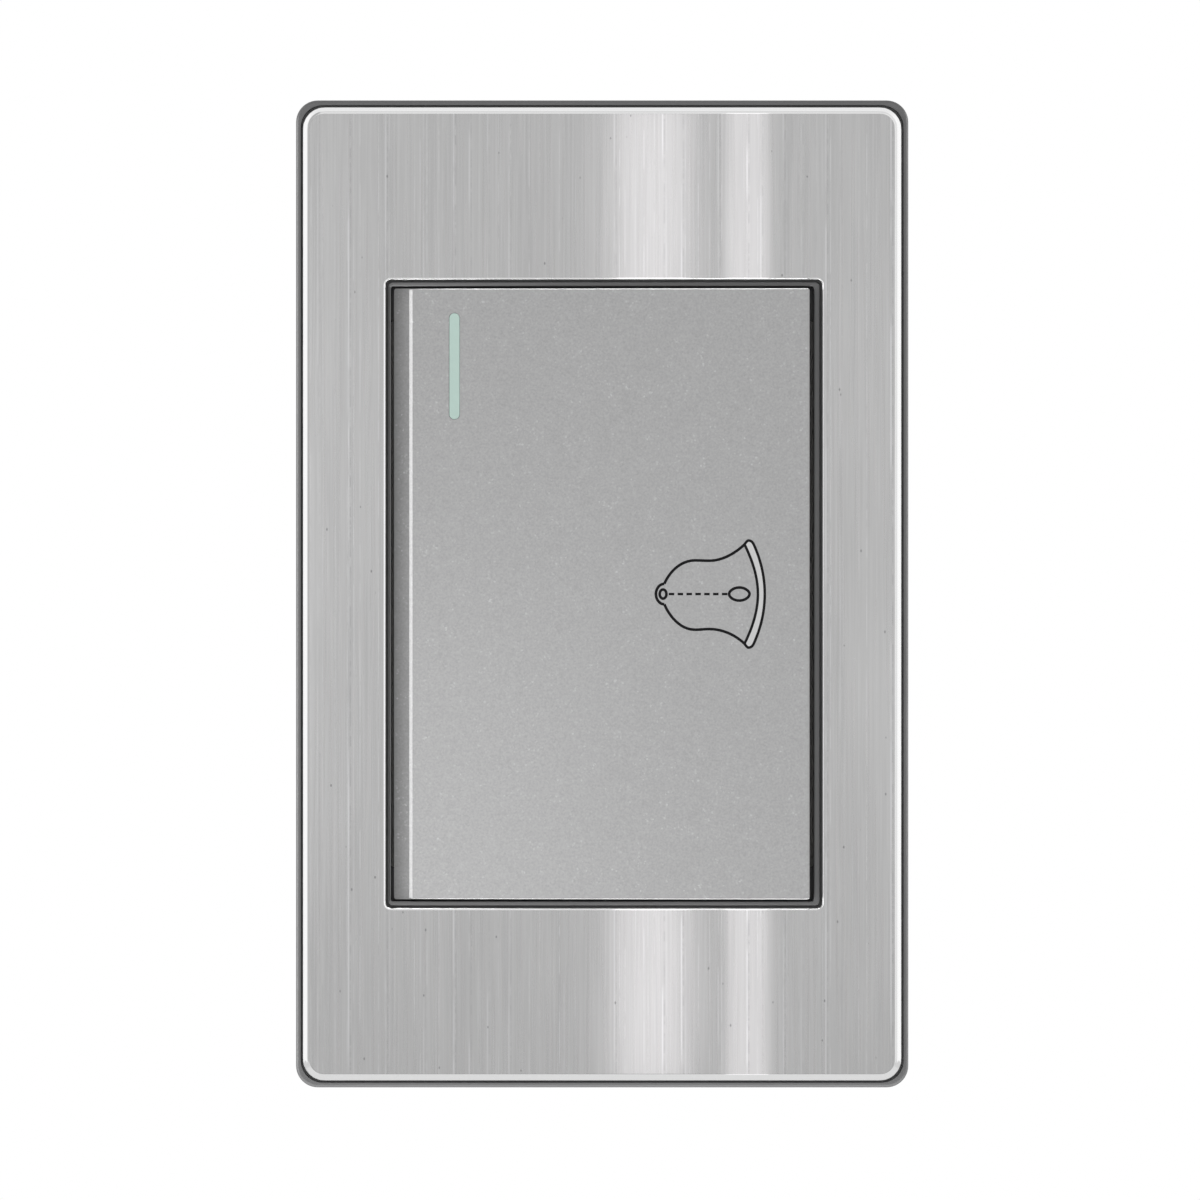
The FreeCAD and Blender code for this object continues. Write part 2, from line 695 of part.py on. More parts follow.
def pivot_ear(side):
    """An ear that holds one end of the axle, with a round top."""
    z_range = spread(side * EAR_PLACE, EAR_THICKNESS)
    top_radius = AXLE_RADIUS + EAR_WALL
    foot = block(spread(0.0, EAR_WIDTH), (PIVOT_Y, DECK_Y + DECK_THICKNESS), z_range)
    head = cross_rod(top_radius, z_range, 0.0, PIVOT_Y)
    shoulder = prism_z(
        [
            (-top_radius, PIVOT_Y),
            (-EAR_WIDTH / 2, DECK_Y),
            (EAR_WIDTH / 2, DECK_Y),
            (top_radius, PIVOT_Y),
        ],
        z_range,
    )
    trimmed = block(spread(0.0, EAR_WIDTH), (DECK_Y, DECK_Y + DECK_THICKNESS), z_range)
    return joined([shoulder, head, foot.common(trimmed)])


def bus_slot(z):
    """Clearance for one lamp strip where it passes the chassis."""
    return block(
        spread(BUS_X, BUS_THICKNESS + 2 * BUS_FIT),
        (DECK_Y, SPIGOT_DEPTH),
        spread(z, BUS_WIDTH + 2 * BUS_FIT),
    )


def front_chassis():
    """Front half of the insert: deck, spigot, well for the carrier, ears and plunger guide."""
    deck = slab(DECK_WIDTH, DECK_HEIGHT, MODULE_CORNER + DECK_LIP, (DECK_Y, YOKE_Y))
    neck = slab(MODULE_WIDTH, MODULE_HEIGHT, MODULE_CORNER, (YOKE_Y, 0.0))
    spigot = slab(SPIGOT_WIDTH, SPIGOT_HEIGHT, MODULE_CORNER, (0.0, SPIGOT_DEPTH))
    hollow = slab(
        WELL_WIDTH, SPIGOT_HEIGHT - 2 * SPIGOT_WALL, MODULE_CORNER / 2, (YOKE_Y, SPIGOT_DEPTH)
    )
    well_block = block(
        spread(0.0, WELL_WIDTH + SPIGOT_WALL),
        (YOKE_Y, SPIGOT_DEPTH),
        spread(0.0, WELL_HEIGHT + 2 * WELL_WALL),
    )
    well = block(spread(0.0, WELL_WIDTH), (DECK_Y, WELL_FLOOR_Y), spread(0.0, WELL_HEIGHT))
    shell = without(joined([deck, neck, spigot]), [hollow])
    bosses = [
        rod(PILLAR_RADIUS, (YOKE_Y, SPIGOT_DEPTH), sx * PILLAR_X, sz * PILLAR_Z)
        for sx in (-1, 1)
        for sz in (-1, 1)
    ]
    guide = rod(
        PLUNGER_RADIUS + GUIDE_BOSS_WALL,
        (WELL_FLOOR_Y, GUIDE_BOSS_Y),
        PLUNGER_X,
    )
    body = without(joined([shell, well_block]), [well])
    body = joined([body, guide, pivot_ear(-1), pivot_ear(1)] + bosses)
    pilots = [
        rod(
            CASE_SCREW_RADIUS,
            (SPIGOT_DEPTH - CASE_SCREW_GRIP, SPIGOT_DEPTH),
            sx * PILLAR_X,
            sz * PILLAR_Z,
        )
        for sx in (-1, 1)
        for sz in (-1, 1)
    ]
    bore = rod(
        PLUNGER_RADIUS + PLUNGER_FIT,
        (WELL_FLOOR_Y, GUIDE_BOSS_Y),
        PLUNGER_X,
    )
    ear_reach = EAR_PLACE + EAR_THICKNESS
    axle_bore = cross_rod(AXLE_RADIUS, (-ear_reach, ear_reach), 0.0, PIVOT_Y)
    return without(
        body, pilots + [bore, axle_bore, bus_slot(UPPER_BUS_Z), bus_slot(LOWER_BUS_Z)]
    )


def stop_pads():
    """Two soft strips on the deck that stop the button at rest and fully pressed."""
    return [
        slab(
            STOP_PAD_WIDTH,
            STOP_LENGTH,
            STOP_PAD_CORNER,
            (PAD_Y, DECK_Y),
            x=side * STOP_PLACE,
        )
        for side in (-1, 1)
    ]


def pivot_axle():
    """Steel axle, held in the two ears."""
    reach = EAR_PLACE + EAR_THICKNESS / 2
    return cross_rod(AXLE_RADIUS, (-reach, reach), 0.0, PIVOT_Y)


# Rocking pieces, modelled square and then tipped to their rest place


def button_blank():
    """The button's outer form: flat face, and a bevel and a sloping strip along its left edge."""
    left = BUTTON_OFFSET - BUTTON_WIDTH / 2
    right = BUTTON_OFFSET + BUTTON_WIDTH / 2
    back = BUTTON_Y + BUTTON_SKIRT_DEPTH
    ridge = left + BEVEL_WIDTH
    whole = slab(
        BUTTON_WIDTH, BUTTON_HEIGHT, BUTTON_CORNER, (BUTTON_Y, back), x=BUTTON_OFFSET
    )
    waste = prism_z(
        [
            (ridge, BUTTON_Y),
            (ridge - RIDGE_WIDTH, BUTTON_Y + RIDGE_DROP),
            (left - BUTTON_EDGE, BUTTON_Y + RIDGE_DROP + BEVEL_DROP),
            (left - BUTTON_EDGE, BUTTON_Y - OVERCUT),
            (ridge, BUTTON_Y - OVERCUT),
        ],
        spread(0.0, BUTTON_HEIGHT + 2 * OVERCUT),
    )
    blank = whole.cut(waste)
    face_edges = edges_in_plane(blank, BUTTON_Y)
    ridge_edge = [e for e in face_edges if e.BoundBox.XLength < SAME_PLACE and e.BoundBox.XMax < 0]
    blank = blank.makeFillet(RIDGE_ROUND, ridge_edge)
    outer = [e for e in edges_in_plane(blank, BUTTON_Y) if e.BoundBox.XMax > ridge + BEVEL_WIDTH]
    return blank.makeFillet(BUTTON_EDGE, outer), (left, right, back)


def button_clip(side, x):
    """A hook behind the button's face that snaps under the carrier's edge."""
    near = CARRIER_HEIGHT / 2 + CLIP_GAP
    barb_front = CARRIER_UNDER_Y + CARRIER_FIT
    profile = [
        (BUTTON_BACK_Y, near),
        (barb_front, near),
        (barb_front, near - CLIP_GAP - CLIP_BARB),
        (barb_front + CLIP_BARB_HEIGHT, near),
        (barb_front + CLIP_BARB_HEIGHT, near + CLIP_THICKNESS),
        (BUTTON_BACK_Y, near + CLIP_THICKNESS),
    ]
    return prism_x([(y, side * z) for y, z in profile], spread(x, CLIP_WIDTH))


def stop_rib_end():
    """How deep the button's stop ribs reach, so that they meet the pads at both limits."""
    rise = STOP_PLACE * math.sin(TILT)
    touch = PAD_Y - STOP_GAP - PIVOT_Y - rise
    return PIVOT_Y + touch / math.cos(TILT)


def lens_slot():
    """The slot through the button's face for the indicator bar."""
    width = BAR_WIDTH + 2 * BAR_FIT
    length = BAR_LENGTH + 2 * BAR_FIT
    return long_hole(width, length, (BUTTON_Y, BUTTON_BACK_Y), BAR_X, BAR_Z)


def button_plate():
    """Hollow moulded button with its indicator slot, clips, stop ribs and stiffeners."""
    blank, (left, right, back) = button_blank()
    strip_back = BUTTON_BACK_Y + RIDGE_DROP + BEVEL_DROP
    inside_left = left + BUTTON_SKIRT_WALL
    inside_right = right - BUTTON_SKIRT_WALL
    inside_z = spread(0.0, BUTTON_HEIGHT - 2 * BUTTON_SKIRT_WALL)
    ridge = left + BEVEL_WIDTH
    pocket = prism_z(
        [
            (ridge + BUTTON_WALL / 2, BUTTON_BACK_Y),
            (inside_right, BUTTON_BACK_Y),
            (inside_right, back),
            (inside_left, back),
            (inside_left, strip_back),
        ],
        inside_z,
    )
    shell = blank.cut(pocket)
    clips = [button_clip(side, x) for side in (-1, 1) for x in (-CLIP_PLACE, CLIP_PLACE)]
    rib_end = stop_rib_end()
    stop_ribs = [
        block(
            spread(side * STOP_PLACE, STOP_RIB_WIDTH),
            (BUTTON_BACK_Y, rib_end),
            spread(0.0, STOP_LENGTH - 2 * STOP_PAD_WIDTH),
        )
        for side in (-1, 1)
    ]
    stiffener_y = (BUTTON_BACK_Y, BUTTON_BACK_Y + STIFFENER_HEIGHT)
    stiffeners = []
    first = EAR_PLACE + (EAR_THICKNESS + STIFFENER_WIDTH) / 2 + STIFFENER_CLEARANCE
    for place in (first, (first + inside_z[1]) / 2):
        lamp_edge = BAR_X + LENS_FLANGE_WIDTH
        stiffeners += [
            block((lamp_edge, inside_right), stiffener_y, spread(place, STIFFENER_WIDTH)),
            block((ridge, inside_right), stiffener_y, spread(-place, STIFFENER_WIDTH)),
        ]
    whole = joined([shell] + clips + stop_ribs + stiffeners)
    return tipped_out(without(whole, [lens_slot()]))


def rocker_carrier():
    """Carrier that the button clips to: plate, hub on the axle, and the nose on the right."""
    half = CARRIER_HEIGHT / 2
    plate = slab(
        CARRIER_WIDTH, CARRIER_HEIGHT, BUTTON_SKIRT_WALL, (CARRIER_Y, CARRIER_UNDER_Y)
    )
    hub_radius = AXLE_RADIUS + AXLE_CLEARANCE + HUB_WALL
    hub = cross_rod(hub_radius, (-half, half), 0.0, PIVOT_Y)
    web = block((-hub_radius, hub_radius), (CARRIER_UNDER_Y, PIVOT_Y), (-half, half))
    nose_z = spread(0.0, NOSE_HEIGHT)
    nose_tip = cross_rod(NOSE_RADIUS, nose_z, PLUNGER_X, NOSE_Y)
    nose = block(spread(PLUNGER_X, 2 * NOSE_RADIUS), (CARRIER_UNDER_Y, NOSE_Y), nose_z)
    gusset = prism_z(
        [
            (hub_radius / 2, CARRIER_UNDER_Y),
            (PLUNGER_X, CARRIER_UNDER_Y),
            (PLUNGER_X, NOSE_Y),
            (hub_radius / 2, PIVOT_Y),
        ],
        spread(0.0, STIFFENER_WIDTH),
    )
    body = joined([plate, hub, web, nose_tip, nose, gusset])
    bore = cross_rod(AXLE_RADIUS + AXLE_CLEARANCE, (-half, half), 0.0, PIVOT_Y)
    return tipped_out(without(body, [bore]))


def indicator_lens():
    """Pale light guide: a bar flush with the button's face on a wider foot behind it."""
    bar = long_hole(BAR_WIDTH, BAR_LENGTH, (BUTTON_Y, BUTTON_BACK_Y), BAR_X, BAR_Z)
    foot = slab(
        LENS_FLANGE_WIDTH,
        LENS_FLANGE_LENGTH,
        BAR_WIDTH / 2,
        (BUTTON_BACK_Y, BUTTON_BACK_Y + LENS_FLANGE_THICKNESS),
        BAR_X,
        BAR_Z,
    )
    return tipped_out(joined([bar, foot]))


# Lamp board and the strips that feed it


def indicator_board():
    """Small circuit board on the deck, with slots for the two feed strips."""
    board = block(BOARD_X_RANGE, (BOARD_Y, DECK_Y), BOARD_Z_RANGE)
    slots = [
        block(
            spread(BUS_X, BUS_THICKNESS + 2 * BUS_FIT),
            (BOARD_Y, DECK_Y),
            spread(z, BUS_WIDTH + 2 * BUS_FIT),
        )
        for z in (UPPER_BUS_Z, LOWER_BUS_Z)
    ]
    return without(board, slots)


def indicator_lamps():
    """Two small lamps under the indicator bar."""
    lamp_x = spread(BAR_X - LAMP_WIDTH, LAMP_WIDTH)
    lamp_y = (BOARD_Y - LAMP_HEIGHT, BOARD_Y)
    return [
        block(lamp_x, lamp_y, spread(BAR_Z + side * LAMP_SPACING / 2, LAMP_LENGTH))
        for side in (-1, 1)
    ]


def indicator_resistor():
    """Chip resistor in the board's lower left corner."""
    left = BOARD_X_RANGE[0] + RESISTOR_EDGE_GAP
    bottom = BOARD_Z_RANGE[0] + BOARD_MARGIN
    return block(
        (left, left + RESISTOR_WIDTH),
        (BOARD_Y - RESISTOR_HEIGHT, BOARD_Y),
        (bottom, bottom + RESISTOR_LENGTH),
    )


def bus_leg(z, depth):
    """The upright of a feed strip, from just above the lamp board down to its run."""
    return block(
        spread(BUS_X, BUS_THICKNESS),
        (BOARD_Y - BUS_STANDOFF, depth + BUS_THICKNESS),
        spread(z, BUS_WIDTH),
    )


def upper_bus():
    """Strip from the lamp board straight across to the upper terminal."""
    run = block(
        (BUS_X - BUS_THICKNESS / 2, TERMINAL_LEFT),
        (UPPER_BUS_Y, UPPER_BUS_Y + BUS_THICKNESS),
        spread(UPPER_BUS_Z, BUS_WIDTH),
    )
    return joined([bus_leg(UPPER_BUS_Z, UPPER_BUS_Y), run])


def lower_bus():
    """Strip from the lamp board down the left side and across to the lower terminal."""
    run_y = (LOWER_BUS_Y, LOWER_BUS_Y + BUS_THICKNESS)
    left = BUS_X - BUS_THICKNESS / 2
    bottom = -TERMINAL_Z - BUS_WIDTH / 2
    down = block((left, left + BUS_WIDTH), run_y, (bottom, LOWER_BUS_Z + BUS_WIDTH / 2))
    across = block((left, TERMINAL_LEFT), run_y, (bottom, bottom + BUS_WIDTH))
    return joined([bus_leg(LOWER_BUS_Z, LOWER_BUS_Y), down, across])


# Insert: rear housing and the screws that close it


def housing_corners():
    """The places of the four case screws."""
    return [(sx * PILLAR_X, sz * PILLAR_Z) for sx in (-1, 1) for sz in (-1, 1)]


def housing_supports():
    """Posts on the housing's floor under the fixed contacts and the feed strips."""
    contact_y = (CONTACT_BACK_Y + SUPPORT_GAP, FLOOR_Y)
    posts = [
        block(
            spread(PLUNGER_X, CONTACT_WIDTH / 2),
            contact_y,
            spread(side * (TIP_PLACE + TIP_RADIUS), CONTACT_WIDTH / 2),
        )
        for side in (-1, 1)
    ]
    upper_y = (UPPER_BUS_Y + BUS_THICKNESS + SUPPORT_GAP, FLOOR_Y)
    lower_y = (LOWER_BUS_Y + BUS_THICKNESS + SUPPORT_GAP, FLOOR_Y)
    third = (TERMINAL_LEFT - BUS_X) / 3
    for x in (BUS_X + third, TERMINAL_LEFT - third):
        posts.append(block(spread(x, BUS_WIDTH), upper_y, spread(UPPER_BUS_Z, BUS_WIDTH / 2)))
        posts.append(block(spread(x, BUS_WIDTH), lower_y, spread(-TERMINAL_Z, BUS_WIDTH / 2)))
    posts.append(
        block(
            spread(BUS_X + BUS_WIDTH / 2, BUS_WIDTH / 2), lower_y, spread(0.0, BUS_WIDTH)
        )
    )
    return posts


def corner_pillar(sx, sz):
    """A pillar for one case screw, grown out of the housing's corner."""
    y_range = (SPIGOT_DEPTH + PILLAR_FIT, FLOOR_Y)
    wall_x = SPIGOT_WIDTH / 2 + SPIGOT_FIT + PILLAR_ROOT
    wall_z = SPIGOT_HEIGHT / 2 + SPIGOT_FIT + PILLAR_ROOT
    x_range = sorted((sx * PILLAR_X, sx * wall_x))
    z_range = sorted((sz * PILLAR_Z, sz * wall_z))
    return joined(
        [
            rod(PILLAR_RADIUS, y_range, sx * PILLAR_X, sz * PILLAR_Z),
            block(x_range, y_range, spread(sz * PILLAR_Z, 2 * PILLAR_RADIUS)),
            block(spread(sx * PILLAR_X, 2 * PILLAR_RADIUS), y_range, z_range),
            block(x_range, y_range, z_range),
        ]
    )


def terminal_pocket(side):
    """A fence that locates one terminal block on the housing's floor."""
    wall = HOUSING_WALL / 2
    fence_y = (CONTACT_BACK_Y + SUPPORT_GAP, FLOOR_Y)
    z = side * TERMINAL_Z
    outside = block(
        spread(PLUNGER_X, TERMINAL_WIDTH + 2 * (TERMINAL_FIT + wall)),
        fence_y,
        spread(z, TERMINAL_HEIGHT + 2 * (TERMINAL_FIT + wall)),
    )
    inside = block(
        spread(PLUNGER_X, TERMINAL_WIDTH + 2 * TERMINAL_FIT),
        fence_y,
        spread(z, TERMINAL_HEIGHT + 2 * TERMINAL_FIT),
    )
    doorway = block(
        (BUS_X, PLUNGER_X),
        fence_y,
        spread(side * TERMINAL_Z, TERMINAL_HEIGHT + 2 * TERMINAL_FIT),
    )
    return outside.cut([inside, doorway])


def rear_housing():
    """Rear half of the insert: a tub with pillars, terminal pockets and wire holes."""
    tub = slab(
        HOUSING_WIDTH, HOUSING_HEIGHT, MODULE_CORNER, (HOUSING_LIP_THICKNESS, HOUSING_DEPTH)
    )
    tub = tub.makeChamfer(HOUSING_CHAMFER, edges_in_plane(tub, HOUSING_DEPTH))
    lip = slab(
        HOUSING_WIDTH + 2 * HOUSING_LIP,
        HOUSING_HEIGHT + 2 * HOUSING_LIP,
        MODULE_CORNER + HOUSING_LIP,
        (0.0, HOUSING_LIP_THICKNESS),
    )
    cavity = slab(
        SPIGOT_WIDTH + 2 * SPIGOT_FIT,
        SPIGOT_HEIGHT + 2 * SPIGOT_FIT,
        MODULE_CORNER,
        (0.0, FLOOR_Y),
    )
    shell = without(joined([lip, tub]), [cavity])
    pillars = [corner_pillar(sx, sz) for sx in (-1, 1) for sz in (-1, 1)]
    pockets = [terminal_pocket(-1), terminal_pocket(1)]
    body = joined([shell] + pillars + pockets + housing_supports())
    shank_hole = CASE_SCREW_RADIUS + SCREW_FIT
    head_hole = CASE_SCREW_HEAD_RADIUS + SCREW_FIT
    head_seat = HOUSING_DEPTH - CASE_SCREW_HEAD - CASE_SCREW_SUNK
    cuts = []
    for x, z in housing_corners():
        cuts.append(rod(shank_hole, (SPIGOT_DEPTH, HOUSING_DEPTH), x, z))
        cuts.append(rod(head_hole, (head_seat, HOUSING_DEPTH), x, z))
    for side in (-1, 1):
        z = side * TERMINAL_Z
        cuts.append(rod(WIRE_HOLE_RADIUS, (FLOOR_Y, HOUSING_DEPTH), PLUNGER_X, z))
        funnel = Part.makeCone(
            WIRE_HOLE_RADIUS,
            WIRE_FUNNEL_RADIUS,
            HOUSING_WALL / 2,
            Vector(PLUNGER_X, HOUSING_DEPTH - HOUSING_WALL / 2, z),
            Vector(0, 1, 0),
        )
        cuts.append(funnel)
        cuts.append(
            side_rod(
                DRIVER_HOLE_RADIUS,
                (PLUNGER_X + TERMINAL_WIDTH / 2, HOUSING_WIDTH / 2 + OVERCUT),
                TERMINAL_SCREW_Y,
                z,
            )
        )
    return without(body, cuts)


def cross_recess(radius_out):
    """Two crossed grooves for a driver, at the origin and running into +Y."""
    length = RECESS_SHARE * radius_out
    return joined(
        [
            block(spread(0.0, length), (0.0, RECESS_DEPTH), spread(0.0, RECESS_WIDTH)),
            block(spread(0.0, RECESS_WIDTH), (0.0, RECESS_DEPTH), spread(0.0, length)),
        ]
    )


def case_screw(x, z):
    """A flat-topped case screw with a cross recess, driven from behind into the chassis."""
    head_back = HOUSING_DEPTH - CASE_SCREW_SUNK
    head_front = head_back - CASE_SCREW_HEAD
    head = rod(CASE_SCREW_HEAD_RADIUS, (head_front, head_back), x, z)
    shank = rod(CASE_SCREW_RADIUS, (SPIGOT_DEPTH - CASE_SCREW_GRIP, head_front), x, z)
    recess = cross_recess(CASE_SCREW_HEAD_RADIUS)
    recess.translate(Vector(x, head_back - RECESS_DEPTH, z))
    return without(joined([head, shank]), [recess])


def case_screws():
    """The four case screws."""
    return [case_screw(x, z) for x, z in housing_corners()]


# Plunger, springs and contacts


def plunger_head_y():
    """Where the plunger's head lies at rest, just clear of the carrier's nose."""
    nose_rest = PIVOT_Y - PLUNGER_X * math.sin(TILT) + NOSE_DROP * math.cos(TILT)
    return nose_rest + NOSE_RADIUS + PUSH_CLEARANCE


def plunger():
    """Turned plastic plunger: head, guided stem and a thin tail with a groove for its clip."""
    head_y = plunger_head_y()
    ring_inner = PLUNGER_TAIL_RADIUS - CLIP_RING_DEPTH
    half_profile = [
        (0.0, head_y),
        (PLUNGER_HEAD_RADIUS, head_y),
        (PLUNGER_HEAD_RADIUS, head_y + PLUNGER_HEAD),
        (PLUNGER_RADIUS, head_y + PLUNGER_HEAD),
        (PLUNGER_RADIUS, STEP_Y),
        (PLUNGER_TAIL_RADIUS, STEP_Y),
        (PLUNGER_TAIL_RADIUS, RING_Y),
        (ring_inner, RING_Y),
        (ring_inner, RING_Y + CLIP_RING_THICKNESS),
        (PLUNGER_TAIL_RADIUS, RING_Y + CLIP_RING_THICKNESS),
        (PLUNGER_TAIL_RADIUS, TAIL_Y),
        (0.0, TAIL_Y),
    ]
    corners = [Vector(x, y, 0) for x, y in half_profile]
    face = Part.Face(Part.makePolygon(corners + corners[:1]))
    turned = face.revolve(Vector(0, 0, 0), Vector(0, 1, 0), 360)
    turned.translate(Vector(PLUNGER_X, 0, 0))
    return turned


def return_spring():
    """Spring round the plunger's stem, between its head and the floor of the well."""
    radius = PLUNGER_RADIUS + SPRING_FIT + SPRING_WIRE / 2
    head_under = plunger_head_y() + PLUNGER_HEAD
    y_range = (head_under + SPRING_SEAT, WELL_FLOOR_Y - SPRING_SEAT)
    return coil(radius, SPRING_WIRE, y_range, SPRING_TURNS, PLUNGER_X)


def contact_spring():
    """Small spring that presses the bridge against its clip."""
    radius = PLUNGER_TAIL_RADIUS + SPRING_FIT / 2 + CONTACT_SPRING_WIRE / 2
    y_range = (STEP_Y + SPRING_SEAT, BRIDGE_Y - SPRING_SEAT)
    return coil(radius, CONTACT_SPRING_WIRE, y_range, CONTACT_SPRING_TURNS, PLUNGER_X)


def contact_bridge():
    """Brass bar across the plunger's tail, with a hole for it."""
    bar = slab(
        BRIDGE_WIDTH, BRIDGE_LENGTH, BRIDGE_CORNER, (BRIDGE_Y, RING_Y), x=PLUNGER_X
    )
    hole = rod(PLUNGER_TAIL_RADIUS + BRIDGE_FIT, (BRIDGE_Y, RING_Y), PLUNGER_X)
    return without(bar, [hole])


def retaining_clip():
    """Open ring in the tail's groove, under the bridge."""
    y_range = (RING_Y, RING_Y + CLIP_RING_THICKNESS)
    ring = rod(CLIP_RING_RADIUS, y_range, PLUNGER_X)
    hole = rod(PLUNGER_TAIL_RADIUS - CLIP_RING_DEPTH + BRIDGE_FIT, y_range, PLUNGER_X)
    mouth = block(
        (PLUNGER_X, PLUNGER_X + CLIP_RING_RADIUS + OVERCUT),
        y_range,
        spread(0.0, CLIP_RING_MOUTH),
    )
    return without(ring, [hole, mouth])


def contact_tips(front):
    """Two silver contact buttons, one at each end of the bridge."""
    return [
        rod(TIP_RADIUS, (front, front + TIP_HEIGHT), PLUNGER_X, side * TIP_PLACE)
        for side in (-1, 1)
    ]


def fixed_contact(side):
    """Brass strip from its contact button to the terminal block."""
    terminal_edge = TERMINAL_Z - TERMINAL_HEIGHT / 2
    z_range = sorted((side * CONTACT_END, side * terminal_edge))
    return block(
        spread(PLUNGER_X, CONTACT_WIDTH),
        (CONTACT_Y, CONTACT_BACK_Y),
        z_range,
    )


def terminal_block(side):
    """Brass pillar terminal: a blind hole for the wire, and a side hole for its screw."""
    z = side * TERMINAL_Z
    body = block(
        spread(PLUNGER_X, TERMINAL_WIDTH),
        (TERMINAL_FRONT_Y, TERMINAL_BACK_Y),
        spread(z, TERMINAL_HEIGHT),
    )
    body = body.makeChamfer(TERMINAL_EDGE, edges_in_plane(body, TERMINAL_FRONT_Y))
    wire_hole = rod(
        WIRE_RADIUS, (TERMINAL_BACK_Y - WIRE_DEPTH, TERMINAL_BACK_Y), PLUNGER_X, z
    )
    screw_hole = side_rod(
        TERMINAL_SCREW_RADIUS,
        (PLUNGER_X, PLUNGER_X + TERMINAL_WIDTH / 2),
        TERMINAL_SCREW_Y,
        z,
    )
    return without(body, [wire_hole, screw_hole])


def terminal_screw(side):
    """Clamping screw in the side of a terminal block, reached through the housing's wall."""
    z = side * TERMINAL_Z
    tip = PLUNGER_X + WIRE_RADIUS + TERMINAL_SCREW_TIP
    head_start = PLUNGER_X + TERMINAL_WIDTH / 2 + TERMINAL_SCREW_SHANK
    head_end = head_start + TERMINAL_SCREW_HEAD
    shank = side_rod(TERMINAL_SCREW_RADIUS, (tip, head_start), TERMINAL_SCREW_Y, z)
    head = side_rod(
        TERMINAL_SCREW_HEAD_RADIUS, (head_start, head_end), TERMINAL_SCREW_Y, z
    )
    recess = cross_recess(TERMINAL_SCREW_HEAD_RADIUS)
    recess.rotate(Vector(0, 0, 0), Vector(0, 0, 1), 90)
    recess.translate(Vector(head_end, TERMINAL_SCREW_Y, z))
    return without(joined([shank, head]), [recess])


def write(name, shape):
    """Saves one node, whose shape is a solid or a list of separate solids."""
    solids = shape if isinstance(shape, list) else [shape]
    whole = Part.makeCompound(solids) if len(solids) > 1 else solids[0]
    volume = sum(s.Volume for s in solids)
    good = all(s.isValid() and len(s.Solids) == 1 for s in solids)
    print(f"{name}: {len(solids)} solid(s), {volume:.1f} mm3{'' if good else ', NOT VALID'}")
    whole.exportStep(os.path.join("parts", name + ".step"))


def main():
    os.makedirs("parts", exist_ok=True)
    write("face_plate", face_plate())
    write("cover_frame", cover_frame())
    write("mounting_yoke", mounting_yoke())
    write("front_chassis", front_chassis())
    write("rear_housing", rear_housing())
    write("case_screws", case_screws())
    write("stop_pads", stop_pads())
    write("pivot_axle", pivot_axle())
    write("button_plate", button_plate())
    write("rocker_carrier", rocker_carrier())
    write("indicator_lens", indicator_lens())
    write("indicator_board", indicator_board())
    write("indicator_lamps", indicator_lamps())
    write("indicator_resistor", indicator_resistor())
    write("upper_feed_strip", upper_bus())
    write("lower_feed_strip", lower_bus())
    write("plunger", plunger())
    write("return_spring", return_spring())
    write("contact_spring", contact_spring())
    write("contact_bridge", contact_bridge())
    write("retaining_clip", retaining_clip())
    write("moving_contact_tips", contact_tips(RING_Y))
    write("fixed_contact_tips", contact_tips(FIXED_TIP_Y))
    write("upper_fixed_contact", fixed_contact(1))
    write("lower_fixed_contact", fixed_contact(-1))
    write("upper_terminal", terminal_block(1))
    write("lower_terminal", terminal_block(-1))
    write("terminal_screws", [terminal_screw(side) for side in (-1, 1)])


main()
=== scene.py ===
"""A wall doorbell push: brushed metal plate, dark moulded frame and a wide rocking button.

The pieces are dressed in the order in which the product is put together, from the plate at
the front to the contacts at the back. Everything is in metres: +X right, +Y into the wall.
"""

import math

import bmesh
import bpy
from mathutils import Matrix, Vector


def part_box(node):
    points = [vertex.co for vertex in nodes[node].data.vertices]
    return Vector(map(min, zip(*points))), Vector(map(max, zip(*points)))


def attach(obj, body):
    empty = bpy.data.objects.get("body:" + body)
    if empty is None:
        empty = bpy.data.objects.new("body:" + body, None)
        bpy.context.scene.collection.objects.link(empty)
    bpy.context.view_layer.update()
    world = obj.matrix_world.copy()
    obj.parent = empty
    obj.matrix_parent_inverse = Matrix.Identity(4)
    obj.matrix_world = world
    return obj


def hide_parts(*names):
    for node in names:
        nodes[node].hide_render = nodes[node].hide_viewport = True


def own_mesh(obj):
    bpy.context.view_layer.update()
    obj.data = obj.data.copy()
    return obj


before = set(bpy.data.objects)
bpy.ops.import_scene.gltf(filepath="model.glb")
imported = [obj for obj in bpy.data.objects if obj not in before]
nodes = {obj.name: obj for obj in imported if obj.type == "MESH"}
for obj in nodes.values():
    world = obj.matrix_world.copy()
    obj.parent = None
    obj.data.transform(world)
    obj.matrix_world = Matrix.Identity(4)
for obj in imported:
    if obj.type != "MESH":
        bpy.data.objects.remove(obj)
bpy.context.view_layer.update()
MM = 0.001


# Viewpoint
# The photograph looks squarely at the plate from well back, so a long lens stands straight
# in front of it, and the frame takes in a little more than the plate's height.

PHOTO_WIDTH = 1200
PHOTO_PIXELS_PER_MM = 8.369
PHOTO_MIDDLE = Vector((-0.26, -7.6, -0.73)) * MM
CAMERA_DISTANCE = 1.5
SENSOR = 36.0

camera_data = bpy.data.cameras.new("photo_camera")
camera_data.sensor_width = SENSOR
camera_data.lens = SENSOR * CAMERA_DISTANCE / (PHOTO_WIDTH / PHOTO_PIXELS_PER_MM * MM)
camera_data.clip_end = 10.0
camera = bpy.data.objects.new("photo_camera", camera_data)
camera.location = PHOTO_MIDDLE + Vector((0.0, -CAMERA_DISTANCE, 0.0))
camera.rotation_euler = (math.radians(90), 0.0, 0.0)
bpy.context.scene.collection.objects.link(camera)
bpy.context.scene.camera = camera


